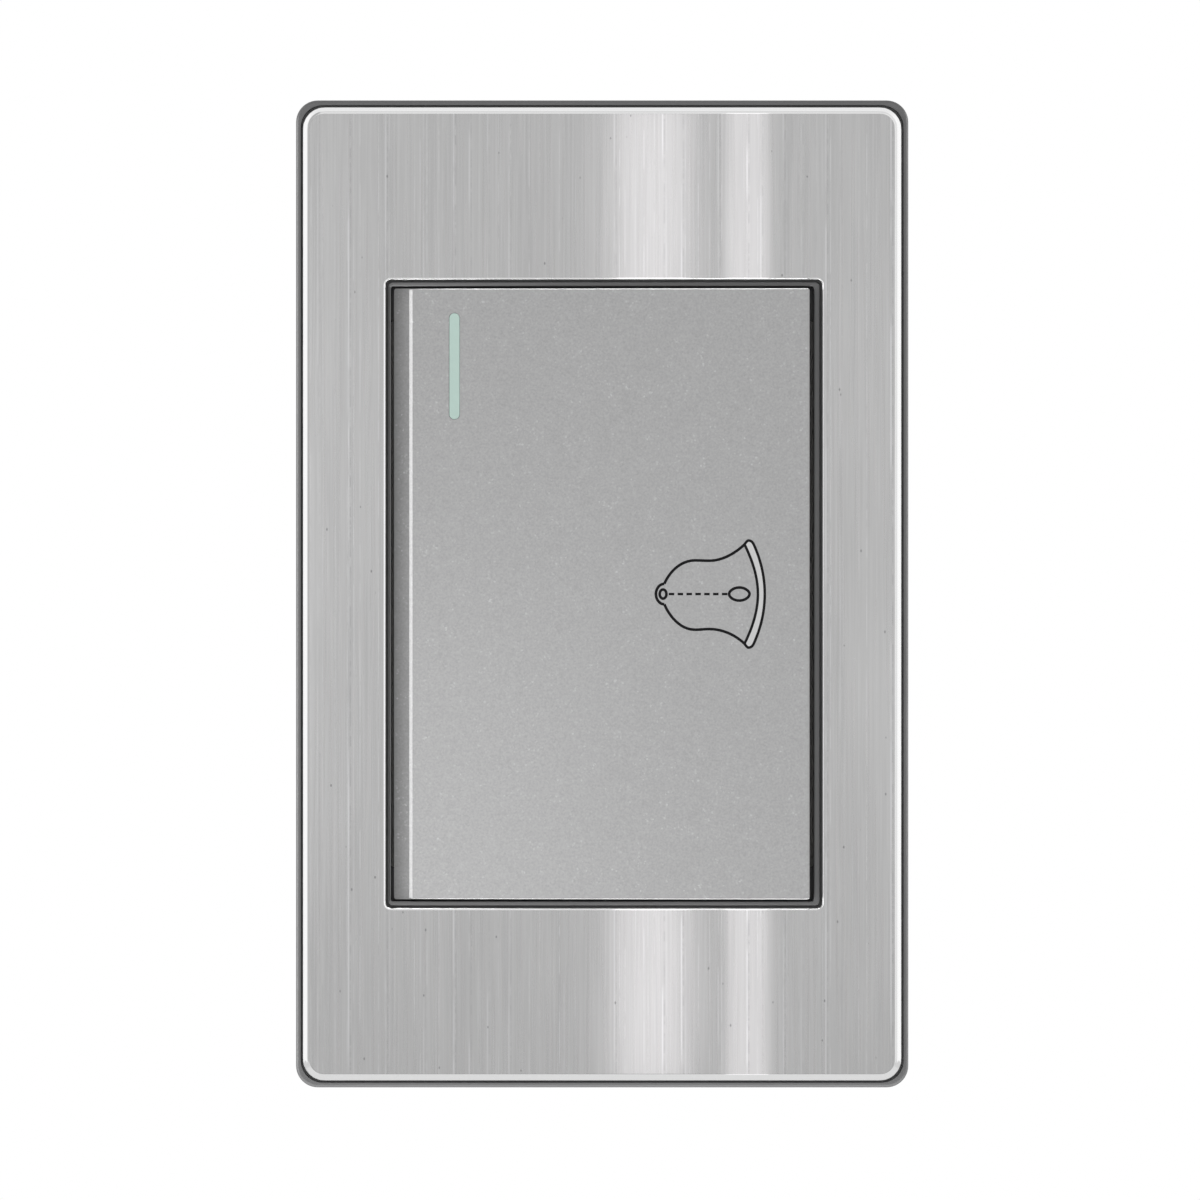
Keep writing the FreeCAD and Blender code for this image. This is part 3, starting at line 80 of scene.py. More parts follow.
# Metal face plate
# A sheet of stainless steel, brushed along its height with a coarse belt, with a cut and
# polished bevel all round and a finer one round the window. It is glued to the frame. The
# bevels are polished, and their colour also carries a painted sheen, much lighter than the face's.

STEEL = (0.472, 0.471, 0.471)
STEEL_SCRATCH = (0.66, 0.66, 0.67)
STEEL_FLANK = (0.34, 0.34, 0.345)
STEEL_PIT = (0.14, 0.14, 0.145)
STEEL_CUT_PAINTED_SHEEN = (0.945, 0.945, 0.945)
BRUSH_FINE = (3600.0, 1.0, 55.0)
BRUSH_COARSE = (1100.0, 1.0, 16.0)
BRUSH_CLOUD = (130.0, 1.0, 40.0)
SCRATCH_PITCH = 2.5 * MM
SCRATCH_HALF_WIDTH = 0.09 * MM
HAIR_PITCH = 0.72 * MM
HAIR_HALF_WIDTH = 0.06 * MM
PIT_PITCH = 1.6 * MM
PIT_RADIUS = 0.07 * MM
HAIR_STRENGTH = 0.36
FLANK_STRENGTH = 0.45
SCRATCH_STRENGTH = 0.66
PIT_STRENGTH = 0.6
PLATE_EDGE = 0.26 * MM
PLATE_BORDER = 1.5 * MM
WINDOW_SHARE = 0.35
WELD = 0.0005 * MM
FLAT = math.radians(0.6)
CREASE = math.radians(28)


class Signal:
    """One output of a shader node, used in sums and products like a number."""

    def __init__(self, finish, socket):
        self.finish = finish
        self.socket = socket

    def math(self, operation, *values):
        return self.finish.node(
            "ShaderNodeMath", {"operation": operation}, dict(enumerate(values))
        )

    def __add__(self, other):
        return self.math("ADD", self, other)

    def __radd__(self, other):
        return self.math("ADD", other, self)

    def __sub__(self, other):
        return self.math("SUBTRACT", self, other)

    def __rsub__(self, other):
        return self.math("SUBTRACT", other, self)

    def __mul__(self, other):
        return self.math("MULTIPLY", self, other)

    def __rmul__(self, other):
        return self.math("MULTIPLY", other, self)

    def __truediv__(self, other):
        return self.math("DIVIDE", self, other)

    def __abs__(self):
        return self.math("ABSOLUTE", self)


class Finish:
    """A node material whose patterns are written as expressions."""

    def __init__(self, name):
        self.name = name
        self.material = bpy.data.materials.new(name)
        self.material.use_nodes = True
        self.tree = self.material.node_tree
        self.shader = self.tree.nodes["Principled BSDF"]

    def node(self, kind, settings=None, inputs=None, output=0):
        """Adds a node. Its settings come first, then the values or links of its sockets."""
        made = self.tree.nodes.new(kind)
        for name, value in (settings or {}).items():
            setattr(made, name, value)
        for name, value in (inputs or {}).items():
            self.plug(made.inputs[name], value)
        return Signal(self, made.outputs[output])

    def plug(self, socket, value):
        if isinstance(value, Signal):
            self.tree.links.new(value.socket, socket)
        elif hasattr(value, "__len__") and len(value) == 3 and socket.type == "RGBA":
            socket.default_value = (*value, 1.0)
        else:
            socket.default_value = value

    def set(self, **sockets):
        """Gives the main shader's sockets their values, with _ for a space in a name."""
        for name, value in sockets.items():
            self.plug(self.shader.inputs[name.replace("_", " ")], value)

    def place(self, scale=(1.0, 1.0, 1.0), shift=(0.0, 0.0, 0.0)):
        """Object coordinates in metres, stretched along each axis."""
        spot = self.node("ShaderNodeTexCoord", output="Object")
        return self.node(
            "ShaderNodeMapping", {}, {"Vector": spot, "Scale": scale, "Location": shift}
        )

    def axes(self, vector):
        """The three numbers of a vector."""
        parts = self.node("ShaderNodeSeparateXYZ", {}, {0: vector})
        outputs = parts.socket.node.outputs
        return [Signal(self, outputs[i]) for i in range(3)]

    def noise(self, scale=(1.0, 1.0, 1.0), size=1.0, detail=2.0, rough=0.5, shift=(0.0, 0.0, 0.0)):
        """Smooth noise from 0 to 1, one blob for each 1 / (scale * size) metres."""
        return self.node(
            "ShaderNodeTexNoise",
            {"noise_dimensions": "3D", "normalize": True},
            {
                "Vector": self.place(scale, shift),
                "Scale": size,
                "Detail": detail,
                "Roughness": rough,
            },
        )

    def fade(self, value, low, high):
        """0 below low, 1 above high, and smooth between them."""
        return self.node(
            "ShaderNodeMapRange",
            {"interpolation_type": "SMOOTHSTEP", "clamp": True},
            {"Value": value, "From Min": low, "From Max": high},
        )

    def mix(self, share, first, second):
        """Colours mixed by share, from the first to the second."""
        made = self.tree.nodes.new("ShaderNodeMix")
        made.data_type = "RGBA"
        sockets = {s.identifier: s for s in made.inputs}
        self.plug(sockets["Factor_Float"], share)
        self.plug(sockets["A_Color"], first)
        self.plug(sockets["B_Color"], second)
        out = next(s for s in made.outputs if s.identifier == "Result_Color")
        return Signal(self, out)

    def bump(self, height, depth, strength=1.0, over=None):
        """A Normal from a height of 0 to 1 that stands for a depth in metres."""
        sockets = {"Height": height, "Distance": depth, "Strength": strength}
        if over is not None:
            sockets["Normal"] = over
        return self.node("ShaderNodeBump", {}, sockets)

    def faces(self):
        """How squarely each point faces the room or the wall: 1 on flat fronts, 0 on sides."""
        normal = self.node("ShaderNodeTexCoord", output="Normal")
        return abs(self.axes(normal)[1])


def alike(edge):
    """Every edge is eased by the full width."""
    return 1.0


def softened(finish, body, edge, *names, segments=2, share=alike):
    """Merged copies that stand for CAD nodes, smooth, and with their sharp edges eased.

    The share of the full width may differ from edge to edge.
    """
    pieces = []
    for name in names:
        build = bmesh.new()
        build.from_mesh(nodes[name].data)
        bmesh.ops.remove_doubles(build, verts=build.verts, dist=WELD)
        bmesh.ops.dissolve_limit(
            build, angle_limit=FLAT, verts=build.verts, edges=build.edges
        )
        for face in build.faces:
            face.smooth = True
        weights = build.edges.layers.float.new("bevel_weight_edge")
        for sharp in build.edges:
            if sharp.is_manifold and sharp.calc_face_angle() > CREASE:
                sharp[weights] = share(sharp)
        mesh = bpy.data.meshes.new(name + "_skin")
        build.to_mesh(mesh)
        build.free()
        mesh.materials.append(finish.material)
        piece = bpy.data.objects.new(name + "_skin", mesh)
        bpy.context.scene.collection.objects.link(piece)
        bevel = piece.modifiers.new("eased_edges", "BEVEL")
        bevel.width = edge
        bevel.segments = segments
        bevel.limit_method = "WEIGHT"
        flats = piece.modifiers.new("flat_faces_stay_flat", "WEIGHTED_NORMAL")
        flats.weight = 100
        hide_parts(name)
        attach(piece, body)
        pieces.append(piece)
    return pieces


steel = Finish("brushed_steel_face")
across, _, upward = steel.axes(steel.place())
flat = steel.fade(steel.faces(), 0.975, 0.999)


def belt_lines(pitch, half_width, least, reach, aside=0.0):
    """Single lines along the brushing, at uneven places, which fade in and out."""
    cells = steel.node(
        "ShaderNodeTexVoronoi",
        {"voronoi_dimensions": "1D", "feature": "F1"},
        {"W": (across + aside) / pitch, "Scale": 1.0, "Randomness": 1.0},
        "Distance",
    )
    luck, start, _ = steel.axes(Signal(steel, cells.socket.node.outputs["Color"]))
    along = steel.node(
        "ShaderNodeTexNoise",
        {"noise_dimensions": "1D", "normalize": True},
        {"W": upward * reach + start * 60.0, "Scale": 1.0, "Detail": 4.0, "Roughness": 0.72},
    )
    line = 1.0 - steel.fade(cells * pitch, 0.3 * half_width, 1.7 * half_width)
    return line * steel.fade(luck, least, 1.0) * steel.fade(along, 0.38, 0.60)


scratch = belt_lines(SCRATCH_PITCH, SCRATCH_HALF_WIDTH, least=0.05, reach=30.0)
hair = belt_lines(HAIR_PITCH, HAIR_HALF_WIDTH, least=0.20, reach=110.0)
flank = belt_lines(
    SCRATCH_PITCH, SCRATCH_HALF_WIDTH, least=0.05, reach=420.0, aside=-2.4 * SCRATCH_HALF_WIDTH
)
fine = steel.noise(BRUSH_FINE, detail=3.0, rough=0.6)
coarse = steel.noise(BRUSH_COARSE, shift=(0.3, 0.0, 0.7))
cloud = steel.noise(BRUSH_CLOUD, shift=(0.9, 0.0, 0.1))
pits = steel.node(
    "ShaderNodeTexVoronoi",
    {"voronoi_dimensions": "3D", "feature": "F1"},
    {"Vector": steel.place((1.0 / PIT_PITCH, 0.0, 0.6 / PIT_PITCH)), "Scale": 1.0},
    "Distance",
)
pit_chance = steel.axes(Signal(steel, pits.socket.node.outputs["Color"]))[1]
pit = (1.0 - steel.fade(pits * PIT_PITCH, PIT_RADIUS, 1.9 * PIT_RADIUS)) * steel.fade(
    pit_chance, 0.64, 0.9
)

grain = 0.45 * fine + 0.3 * coarse + 0.25 * cloud
shade = steel.fade(grain, 0.32, 0.68)
colour = steel.mix(shade, [0.92 * c for c in STEEL], [1.08 * c for c in STEEL])
colour = steel.mix(hair * HAIR_STRENGTH, colour, STEEL_SCRATCH)
colour = steel.mix(flank * FLANK_STRENGTH, colour, STEEL_FLANK)
colour = steel.mix(scratch * SCRATCH_STRENGTH, colour, STEEL_SCRATCH)
colour = steel.mix(pit * PIT_STRENGTH, colour, STEEL_PIT)
# Painted sheen: the bevels, found by how they face, get a much lighter colour than the brushed
# face.
colour = steel.mix(flat, STEEL_CUT_PAINTED_SHEEN, colour)
steel.set(
    Base_Color=colour,
    Metallic=1.0,
    Roughness=flat * (0.12 + 0.07 * coarse) + 0.12,
    Normal=steel.bump((0.5 * fine + 0.5 * coarse + 0.6 * scratch) * flat, 0.002 * MM, 0.25),
)


def rounder_outside(edge):
    """The plate's outer bevel is buffed rounder than the one round the window."""
    low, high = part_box("face_plate")
    spot = (edge.verts[0].co + edge.verts[1].co) / 2
    beside = low.x + PLATE_BORDER < spot.x < high.x - PLATE_BORDER
    between = low.z + PLATE_BORDER < spot.z < high.z - PLATE_BORDER
    return WINDOW_SHARE if beside and between else 1.0


(plate_skin,) = softened(
    steel, "fixed_parts", PLATE_EDGE, "face_plate", segments=3, share=rounder_outside
)


# Cover frame
# One dark grey moulding with a fine sparked texture. It shows as a rim round the plate and
# as a collar in the window, and it hooks to the steel yoke.

FRAME_GREY = (0.082, 0.082, 0.083)
FRAME_EDGE = 0.12 * MM
SPARK_SIZE = 1.0 / (0.16 * MM)

moulding = Finish("dark_frame")
spark = moulding.noise(size=SPARK_SIZE, rough=0.55)
cloud = moulding.noise(size=160.0)
moulding.set(
    Base_Color=moulding.mix(
        0.6 * spark + 0.4 * cloud, [0.88 * c for c in FRAME_GREY], [1.12 * c for c in FRAME_GREY]
    ),
    Roughness=0.30 + 0.10 * spark,
    Normal=moulding.bump(spark, 0.003 * MM, 0.25),
)
(frame_skin,) = softened(moulding, "fixed_parts", FRAME_EDGE, "cover_frame")


# Button plate
# A hollow moulding sprayed with grey metallic paint. The paint's fine flakes glint. Painted shade
# darkens the strip at the left, where it turns away from the viewer, most at its outer edge. The
# paint also rounds off the ridge beside that strip, which catches the light.

PAINT = (0.335, 0.335, 0.336)
PAINT_FLECK = (0.62, 0.62, 0.63)
FLECK_STRENGTH = 0.40
FLAKE_SIZE = 1.0 / (0.20 * MM)
BUTTON_EDGE = 0.22 * MM
BUTTON_SHARE = 0.65
RIDGE_LEAN = 0.5
RIDGE_ZONE = (1.0 * MM, 3.0 * MM)
STRIP_START = 0.15 * MM
STRIP_WIDTH = 1.9 * MM
STRIP_PAINTED_SHADE = 0.11
STRIP_EDGE_PAINTED_SHADE = 0.26

paint = Finish("button_paint")
flake = paint.node(
    "ShaderNodeTexVoronoi",
    {"voronoi_dimensions": "3D", "feature": "F1"},
    {"Vector": paint.place(), "Scale": FLAKE_SIZE},
    "Color",
)
flake_light, flake_luck, _ = paint.axes(flake)
speckle = paint.noise(size=3600.0, rough=0.6)
mottle = paint.noise(size=640.0, detail=3.0, rough=0.55)
glint = paint.fade(flake_luck, 0.90, 1.0) * paint.fade(mottle, 0.40, 0.75)
paint_shade = 0.25 * flake_light + 0.45 * paint.fade(speckle, 0.2, 0.8) + 0.30 * mottle
normal_x, normal_y, normal_z = paint.axes(paint.node("ShaderNodeTexCoord", output="Normal"))
slope = paint.fade(0.0 - normal_x, 0.40, 0.60) * paint.fade(0.0 - normal_y, 0.40, 0.60)
leaning = paint.node(
    "ShaderNodeCombineXYZ",
    {},
    {"X": normal_x, "Y": normal_y - slope * RIDGE_LEAN, "Z": normal_z},
)
rounded = paint.node(
    "ShaderNodeVectorTransform",
    {"vector_type": "NORMAL", "convert_from": "OBJECT", "convert_to": "WORLD"},
    {0: leaning},
)
# Painted shade: the strip at the left, found by how it faces, is darkened in its colour, most at
# its outer edge.
shaded_strip_mask = paint.fade(0.0 - normal_x, 0.08, 0.16) * paint.fade(0.0 - normal_y, 0.90, 0.96)
button_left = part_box("button_plate")[0].x
strip_across = paint.axes(paint.place())[0] - button_left
outward = 1.0 - paint.fade(strip_across, STRIP_START, STRIP_WIDTH)
dark = shaded_strip_mask * (STRIP_PAINTED_SHADE + STRIP_EDGE_PAINTED_SHADE * outward)
paint_colour = paint.mix(paint_shade, [0.84 * c for c in PAINT], [1.16 * c for c in PAINT])
paint_colour = paint.mix(dark, paint_colour, (0.0, 0.0, 0.0))
paint.set(
    Base_Color=paint.mix(glint * FLECK_STRENGTH, paint_colour, PAINT_FLECK),
    Metallic=0.75,
    Roughness=0.28 + 0.08 * mottle,
    Coat_Weight=0.5,
    Coat_Roughness=0.16,
    Normal=paint.bump(0.5 * flake_light + 0.5 * speckle, 0.002 * MM, 0.18, rounded),
)


def rounder_ridge(edge):
    """The paint rounds the ridge beside the left strip more than the other edges."""
    low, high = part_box("button_plate")
    first, second = (vertex.co for vertex in edge.verts)
    upright = abs(first.z - second.z) > 0.9 * (high.z - low.z)
    near, far = RIDGE_ZONE
    beside_strip = low.x + near < first.x < low.x + far
    return 1.0 if upright and beside_strip else BUTTON_SHARE


(button_skin,) = softened(
    paint, "rocker", BUTTON_EDGE, "button_plate", segments=3, share=rounder_ridge
)


# Bell sign
# A bell that lies on its side, printed in thin black lines on the right half of the button:
# crown, body, mouth with a pale band, clapper, and the clapper's rod as a dashed line.

LINE_WIDTH = 0.35 * MM
DASH_WIDTH = 0.31 * MM
INK_HEIGHT = 0.012 * MM
BAND_HEIGHT = 0.005 * MM
INK_DARK = (0.006, 0.006, 0.007)
INK_LIGHT = (0.012, 0.012, 0.013)
PALE_INK = (0.63, 0.63, 0.63)
BELL_MIDDLE = -0.02
CROWN_LEFT = 6.42
CROWN_EYE = (7.27, 0.40, 0.54)
SHOULDER = (7.42, 1.22)
UPPER_WAIST = (11.1, 4.02, 12.8, 3.98)
LOWER_WAIST = (11.1, 4.26, 12.8, 4.18)
LIP = (17.0, 5.93)
LIP_TIP = (17.52, 6.38)
MOUTH = 18.60
MOUTH_OUTER = 19.40
CLAPPER = (16.37, 1.22, 0.78)
OVAL = 0.5523
ALMOND = 0.46
DASHES = 7
FIRST_DASH = 7.95
DASH_PITCH = 1.057
DASH_LENGTH = 0.66


def stroke(rows, width, closed=False):
    """A printed line along a smooth curve. Each row is a handle, a place and a handle."""
    curve = bpy.data.curves.new("stroke", "CURVE")
    curve.dimensions = "3D"
    curve.resolution_u = 12
    curve.bevel_depth = width / 2
    curve.bevel_resolution = 3
    curve.use_fill_caps = True
    spline = curve.splines.new("BEZIER")
    spline.bezier_points.add(len(rows) - 1)
    spline.use_cyclic_u = closed
    for knot, row in zip(spline.bezier_points, rows):
        places = [Vector((x * MM, 0.0, (z + BELL_MIDDLE) * MM)) for x, z in row]
        knot.handle_left_type = knot.handle_right_type = "FREE"
        knot.handle_left, knot.co, knot.handle_right = places
    holder = bpy.data.objects.new("stroke", curve)
    mesh = bpy.data.meshes.new_from_object(holder)
    bpy.data.objects.remove(holder)
    return mesh


def filled(rows):
    """A printed area inside a closed smooth curve, as thin as a film of ink."""
    curve = bpy.data.curves.new("area", "CURVE")
    curve.dimensions = "2D"
    curve.fill_mode = "BOTH"
    curve.resolution_u = 12
    spline = curve.splines.new("BEZIER")
    spline.bezier_points.add(len(rows) - 1)
    spline.use_cyclic_u = True
    for knot, row in zip(spline.bezier_points, rows):
        places = [Vector((x * MM, (z + BELL_MIDDLE) * MM, 0.0)) for x, z in row]
        knot.handle_left_type = knot.handle_right_type = "FREE"
        knot.handle_left, knot.co, knot.handle_right = places
    holder = bpy.data.objects.new("area", curve)
    mesh = bpy.data.meshes.new_from_object(holder)
    bpy.data.objects.remove(holder)
    for vertex in mesh.vertices:
        vertex.co = Vector((vertex.co.x, -BAND_HEIGHT, vertex.co.y))
    return mesh


def oval(middle, across, up, fullness=OVAL):
    """The four knots of an ellipse. Less fullness draws its ends towards points."""
    knots = []
    for turn in range(4):
        c, s = math.cos(turn * math.pi / 2), math.sin(turn * math.pi / 2)
        tangent = (-s * across * OVAL, c * up * fullness)
        spot = (middle + c * across, s * up)
        before = (spot[0] - tangent[0], spot[1] - tangent[1])
        after = (spot[0] + tangent[0], spot[1] + tangent[1])
        knots.append((before, spot, after))
    return knots


def side_line(waist, side):
    """One side of the bell's body, from the crown past the waist to the lip."""
    near, near_up, far, far_up = waist
    rows = [
        ((7.3, 1.0), SHOULDER, (7.95, 2.45)),
        ((9.2, near_up), (near, near_up), (near + 0.6, near_up)),
        ((far - 0.6, far_up), (far, far_up), (far + 1.55, far_up)),
        ((15.85, 4.85), LIP, (17.2, 6.1)),
    ]
    return [tuple((x, side * z) for x, z in row) for row in rows]


mouth_line = [
    (LIP, LIP, (17.75, 4.4)),
    ((MOUTH, 2.3), (MOUTH, 0.0), (MOUTH, -2.3)),
    ((17.75, -4.4), (LIP[0], -LIP[1]), (LIP[0], -LIP[1])),
]
outer_line = [
    (LIP, LIP, (17.15, 6.1)),
    ((17.3, 6.42), LIP_TIP, (17.85, 6.36)),
    ((18.0, 6.1), (18.12, 5.85), (18.85, 4.2)),
    ((MOUTH_OUTER, 2.3), (MOUTH_OUTER, 0.0), (MOUTH_OUTER, -2.3)),
    ((18.85, -4.2), (18.12, -5.85), (18.0, -6.1)),
    ((17.85, -6.36), (LIP_TIP[0], -LIP_TIP[1]), (17.3, -6.42)),
    ((17.15, -6.1), (LIP[0], -LIP[1]), (LIP[0], -LIP[1])),
]
band_line = mouth_line[:1] + [
    ((MOUTH, 2.3), (MOUTH, 0.0), (MOUTH, -2.3)),
    ((17.75, -4.4), (LIP[0], -LIP[1]), (17.15, -6.1)),
    ((17.3, -6.42), (LIP_TIP[0], -LIP_TIP[1]), (17.85, -6.36)),
    ((18.0, -6.1), (18.12, -5.85), (18.85, -4.2)),
    ((MOUTH_OUTER, -2.3), (MOUTH_OUTER, 0.0), (MOUTH_OUTER, 2.3)),
    ((18.85, 4.2), (18.12, 5.85), (18.0, 6.1)),
    ((17.85, 6.36), LIP_TIP, (17.3, 6.42)),
]
crown_line = [
    ((7.5, SHOULDER[1]), SHOULDER, (6.86, 1.22)),
    ((CROWN_LEFT, 0.66), (CROWN_LEFT, 0.0), (CROWN_LEFT, -0.66)),
    ((6.86, -1.22), (SHOULDER[0], -SHOULDER[1]), (7.5, -SHOULDER[1])),
]
strokes = [
    stroke(side_line(UPPER_WAIST, 1), LINE_WIDTH),
    stroke(side_line(LOWER_WAIST, -1), LINE_WIDTH),
    stroke(mouth_line, LINE_WIDTH),
    stroke(outer_line, LINE_WIDTH),
    stroke(crown_line, LINE_WIDTH),
    stroke(oval(*CROWN_EYE), LINE_WIDTH, True),
    stroke(oval(*CLAPPER, ALMOND), LINE_WIDTH, True),
]
for i in range(DASHES):
    start = FIRST_DASH + i * DASH_PITCH
    end = start + DASH_LENGTH
    third = DASH_LENGTH / 3
    strokes.append(
        stroke(
            [
                ((start, 0.0), (start, 0.0), (start + third, 0.0)),
                ((end - third, 0.0), (end, 0.0), (end, 0.0)),
            ],
            DASH_WIDTH,
        )
    )


def largest_face(node):
    """A point on the largest flat front of a node, and that front's normal."""
    mesh = nodes[node].data
    areas = {}
    for polygon in mesh.polygons:
        key = tuple(round(c, 3) for c in polygon.normal)
        areas.setdefault(key, []).append(polygon)
    front = max(
        (rows for key, rows in areas.items() if key[1] < -0.9),
        key=lambda rows: sum(p.area for p in rows),
    )
    return front[0].center.copy(), front[0].normal.copy()


def on_button(mesh_builder):
    """Lays work drawn in the wall's plane on the button's tilted face."""
    point, normal = largest_face("button_plate")
    for vertex in mesh_builder.verts:
        depth = vertex.co.y
        x, z = vertex.co.x, vertex.co.z
        face_y = point.y - ((x - point.x) * normal.x + (z - point.z) * normal.z) / normal.y
        vertex.co = Vector((x, face_y, z)) + normal * (-depth)


def printed(name, meshes, rise, ink):
    """One printed layer on the button, which rides with it."""
    build = bmesh.new()
    for mesh in meshes:
        build.from_mesh(mesh)
        bpy.data.meshes.remove(mesh)
    bmesh.ops.scale(build, verts=build.verts, vec=(1.0, rise, 1.0))
    on_button(build)
    bmesh.ops.recalc_face_normals(build, faces=build.faces)
    mesh = bpy.data.meshes.new(name)
    build.to_mesh(mesh)
    build.free()
    mesh.materials.append(ink.material)
    piece = bpy.data.objects.new(name, mesh)
    bpy.context.scene.collection.objects.link(piece)
    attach(piece, "rocker")


ink = Finish("black_ink")
ink_grain = ink.noise(size=4000.0)
ink.set(
    Base_Color=ink.mix(ink_grain, INK_DARK, INK_LIGHT),
    Roughness=0.5 + 0.15 * ink_grain,
    Specular_IOR_Level=0.12,
)
printed("bell_sign", strokes, INK_HEIGHT / (LINE_WIDTH / 2), ink)

pale_ink = Finish("pale_ink")
pale_grain = pale_ink.noise(size=4000.0)
pale_ink.set(
    Base_Color=pale_ink.mix(pale_grain, PALE_INK, [1.06 * c for c in PALE_INK]),
    Metallic=0.2,
    Roughness=0.35,
)
printed("bell_mouth_band", [filled(band_line)], 1.0, pale_ink)


# Indicator bar
# A light guide moulded in pale mint plastic. It is pressed in from behind until its bar is
# flush with the paint, and its flange keeps it there.

MINT = (0.51, 0.665, 0.605)
BAR_EDGE = 0.06 * MM

lens = Finish("lens_mint")
milk = lens.noise(size=900.0)
lens.set(
    Base_Color=lens.mix(milk, [0.96 * c for c in MINT], [1.04 * c for c in MINT]),
    Roughness=0.30 + 0.08 * milk,
)
softened(lens, "rocker", BAR_EDGE, "indicator_lens")


# Rocker carrier and plunger
# Both are moulded in a natural white plastic that slides well, so they need no grease. The
# carrier turns on the axle with the button clipped to it, and its nose moves the plunger.

NATURAL_WHITE = (0.78, 0.77, 0.73)
SLIDING_EDGE = 0.15 * MM

slippery = Finish("carrier_plastic")
haze = slippery.noise(size=300.0, detail=3.0)
orange_peel = slippery.noise(size=2500.0)
slippery.set(
    Base_Color=slippery.mix(haze, [0.95 * c for c in NATURAL_WHITE], NATURAL_WHITE),
    Roughness=0.38 + 0.12 * haze,
    Normal=slippery.bump(orange_peel, 0.003 * MM, 0.3),
)
softened(slippery, "rocker", SLIDING_EDGE, "rocker_carrier")
softened(slippery, "slider", SLIDING_EDGE, "plunger")


# Steel yoke, axle and screws
# The yoke is pressed from steel sheet and plated with zinc, as the screws and the axle are.
# The plating keeps the sheet's faint rolling lines. What faces the room has painted shade in
# its colour, nearly black, so that the slit beside the button reads as dark.

ZINC = (0.60, 0.61, 0.635)
ZINC_PAINTED_SHADE = (0.095, 0.095, 0.097)
SHEET_EDGE = 0.12 * MM
TURNED_EDGE = 0.15 * MM

zinc = Finish("zinc_steel")
rolling = zinc.noise((120.0, 120.0, 2600.0), detail=3.0, rough=0.6)
bloom = zinc.noise(size=130.0, detail=4.0, rough=0.6)
zinc_colour = zinc.mix(
    0.5 * rolling + 0.5 * bloom, [0.86 * c for c in ZINC], [1.1 * c for c in ZINC]
)
# Painted shade: every zinc face that looks towards the room gets a nearly black colour.
_, toward_wall, _ = zinc.axes(zinc.node("ShaderNodeTexCoord", output="Normal"))
painted_front_shade = zinc.fade(0.0 - toward_wall, 0.80, 0.95)
zinc.set(
    Base_Color=zinc.mix(painted_front_shade, zinc_colour, ZINC_PAINTED_SHADE),
    Metallic=1.0,
    Roughness=0.24 + 0.16 * bloom,
    Normal=zinc.bump(rolling, 0.003 * MM, 0.3),
)
softened(zinc, "fixed_parts", SHEET_EDGE, "mounting_yoke")
softened(zinc, "fixed_parts", TURNED_EDGE, "pivot_axle", "case_screws", "terminal_screws")


# Insert: chassis and housing
# Two light grey mouldings, closed with four screws from behind. Their outside has a dull
# sparked texture.

INSERT_GREY = (0.60, 0.60, 0.585)
INSERT_EDGE = 0.2 * MM
INSERT_SPARK_SIZE = 1.0 / (0.25 * MM)

insert = Finish("insert_plastic")
insert_spark = insert.noise(size=INSERT_SPARK_SIZE, rough=0.55)
insert_cloud = insert.noise(size=90.0)
insert.set(
    Base_Color=insert.mix(
        0.4 * insert_spark + 0.6 * insert_cloud, [0.94 * c for c in INSERT_GREY], INSERT_GREY
    ),
    Roughness=0.42 + 0.14 * insert_spark,
    Normal=insert.bump(insert_spark, 0.006 * MM, 0.35),
)
softened(insert, "fixed_parts", INSERT_EDGE, "front_chassis", "rear_housing")


# Springs
# The return spring pushes the plunger out and the small contact spring holds the bridge to
# its clip. Both are wound from bright wire with a few open turns.

WIRE_DARK = (0.42, 0.42, 0.43)
WIRE_LIGHT = (0.62, 0.62, 0.63)
WIRE_SIDES = 10
STEPS_A_TURN = 28
RETURN_WIRE = 0.5 * MM
RETURN_TURNS = 5
CONTACT_WIRE = 0.35 * MM
CONTACT_TURNS = 4
CLIP_EDGE = 0.08 * MM

wire_finish = Finish("spring_steel")
drawn = wire_finish.noise(size=5000.0)
wire_finish.set(
    Base_Color=wire_finish.mix(drawn, WIRE_DARK, WIRE_LIGHT),
    Metallic=1.0,
    Roughness=0.22 + 0.12 * drawn,
)


def wound(name, node, wire, turns):
    """A coil that fills a CAD spring's box, wound round a line that runs into the wall."""
    low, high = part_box(node)
    middle = (low + high) / 2
    radius = (high.x - low.x - wire) / 2
    pitch = (high.y - low.y - wire) / turns
    build = bmesh.new()
    end = bmesh.ops.create_circle(
        build,
        cap_ends=True,
        segments=WIRE_SIDES,
        radius=wire / 2,
        matrix=Matrix.Translation((middle.x + radius, low.y + wire / 2, middle.z)),
    )["verts"]
    cap = list({face for vertex in end for face in vertex.link_faces})
    bmesh.ops.spin(
        build,
        geom=cap + list({e for f in cap for e in f.edges}) + end,
        cent=middle,
        axis=(0.0, 1.0, 0.0),
        dvec=(0.0, pitch / STEPS_A_TURN, 0.0),
        angle=turns * math.tau,
        steps=turns * STEPS_A_TURN,
        use_merge=False,
        use_duplicate=False,
    )
    bmesh.ops.recalc_face_normals(build, faces=build.faces)
    for face in build.faces:
        face.smooth = len(face.verts) == 4
    mesh = bpy.data.meshes.new(name)
    build.to_mesh(mesh)
    build.free()
    piece = bpy.data.objects.new(name, mesh)
    bpy.context.scene.collection.objects.link(piece)
    mesh.materials.append(wire_finish.material)
    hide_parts(node)
    return piece


return_coil = wound("return_coil", "return_spring", RETURN_WIRE, RETURN_TURNS)
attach(return_coil, "fixed_parts")
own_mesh(return_coil)
contact_coil = wound("contact_coil", "contact_spring", CONTACT_WIRE, CONTACT_TURNS)
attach(contact_coil, "slider")
softened(wire_finish, "slider", CLIP_EDGE, "retaining_clip")


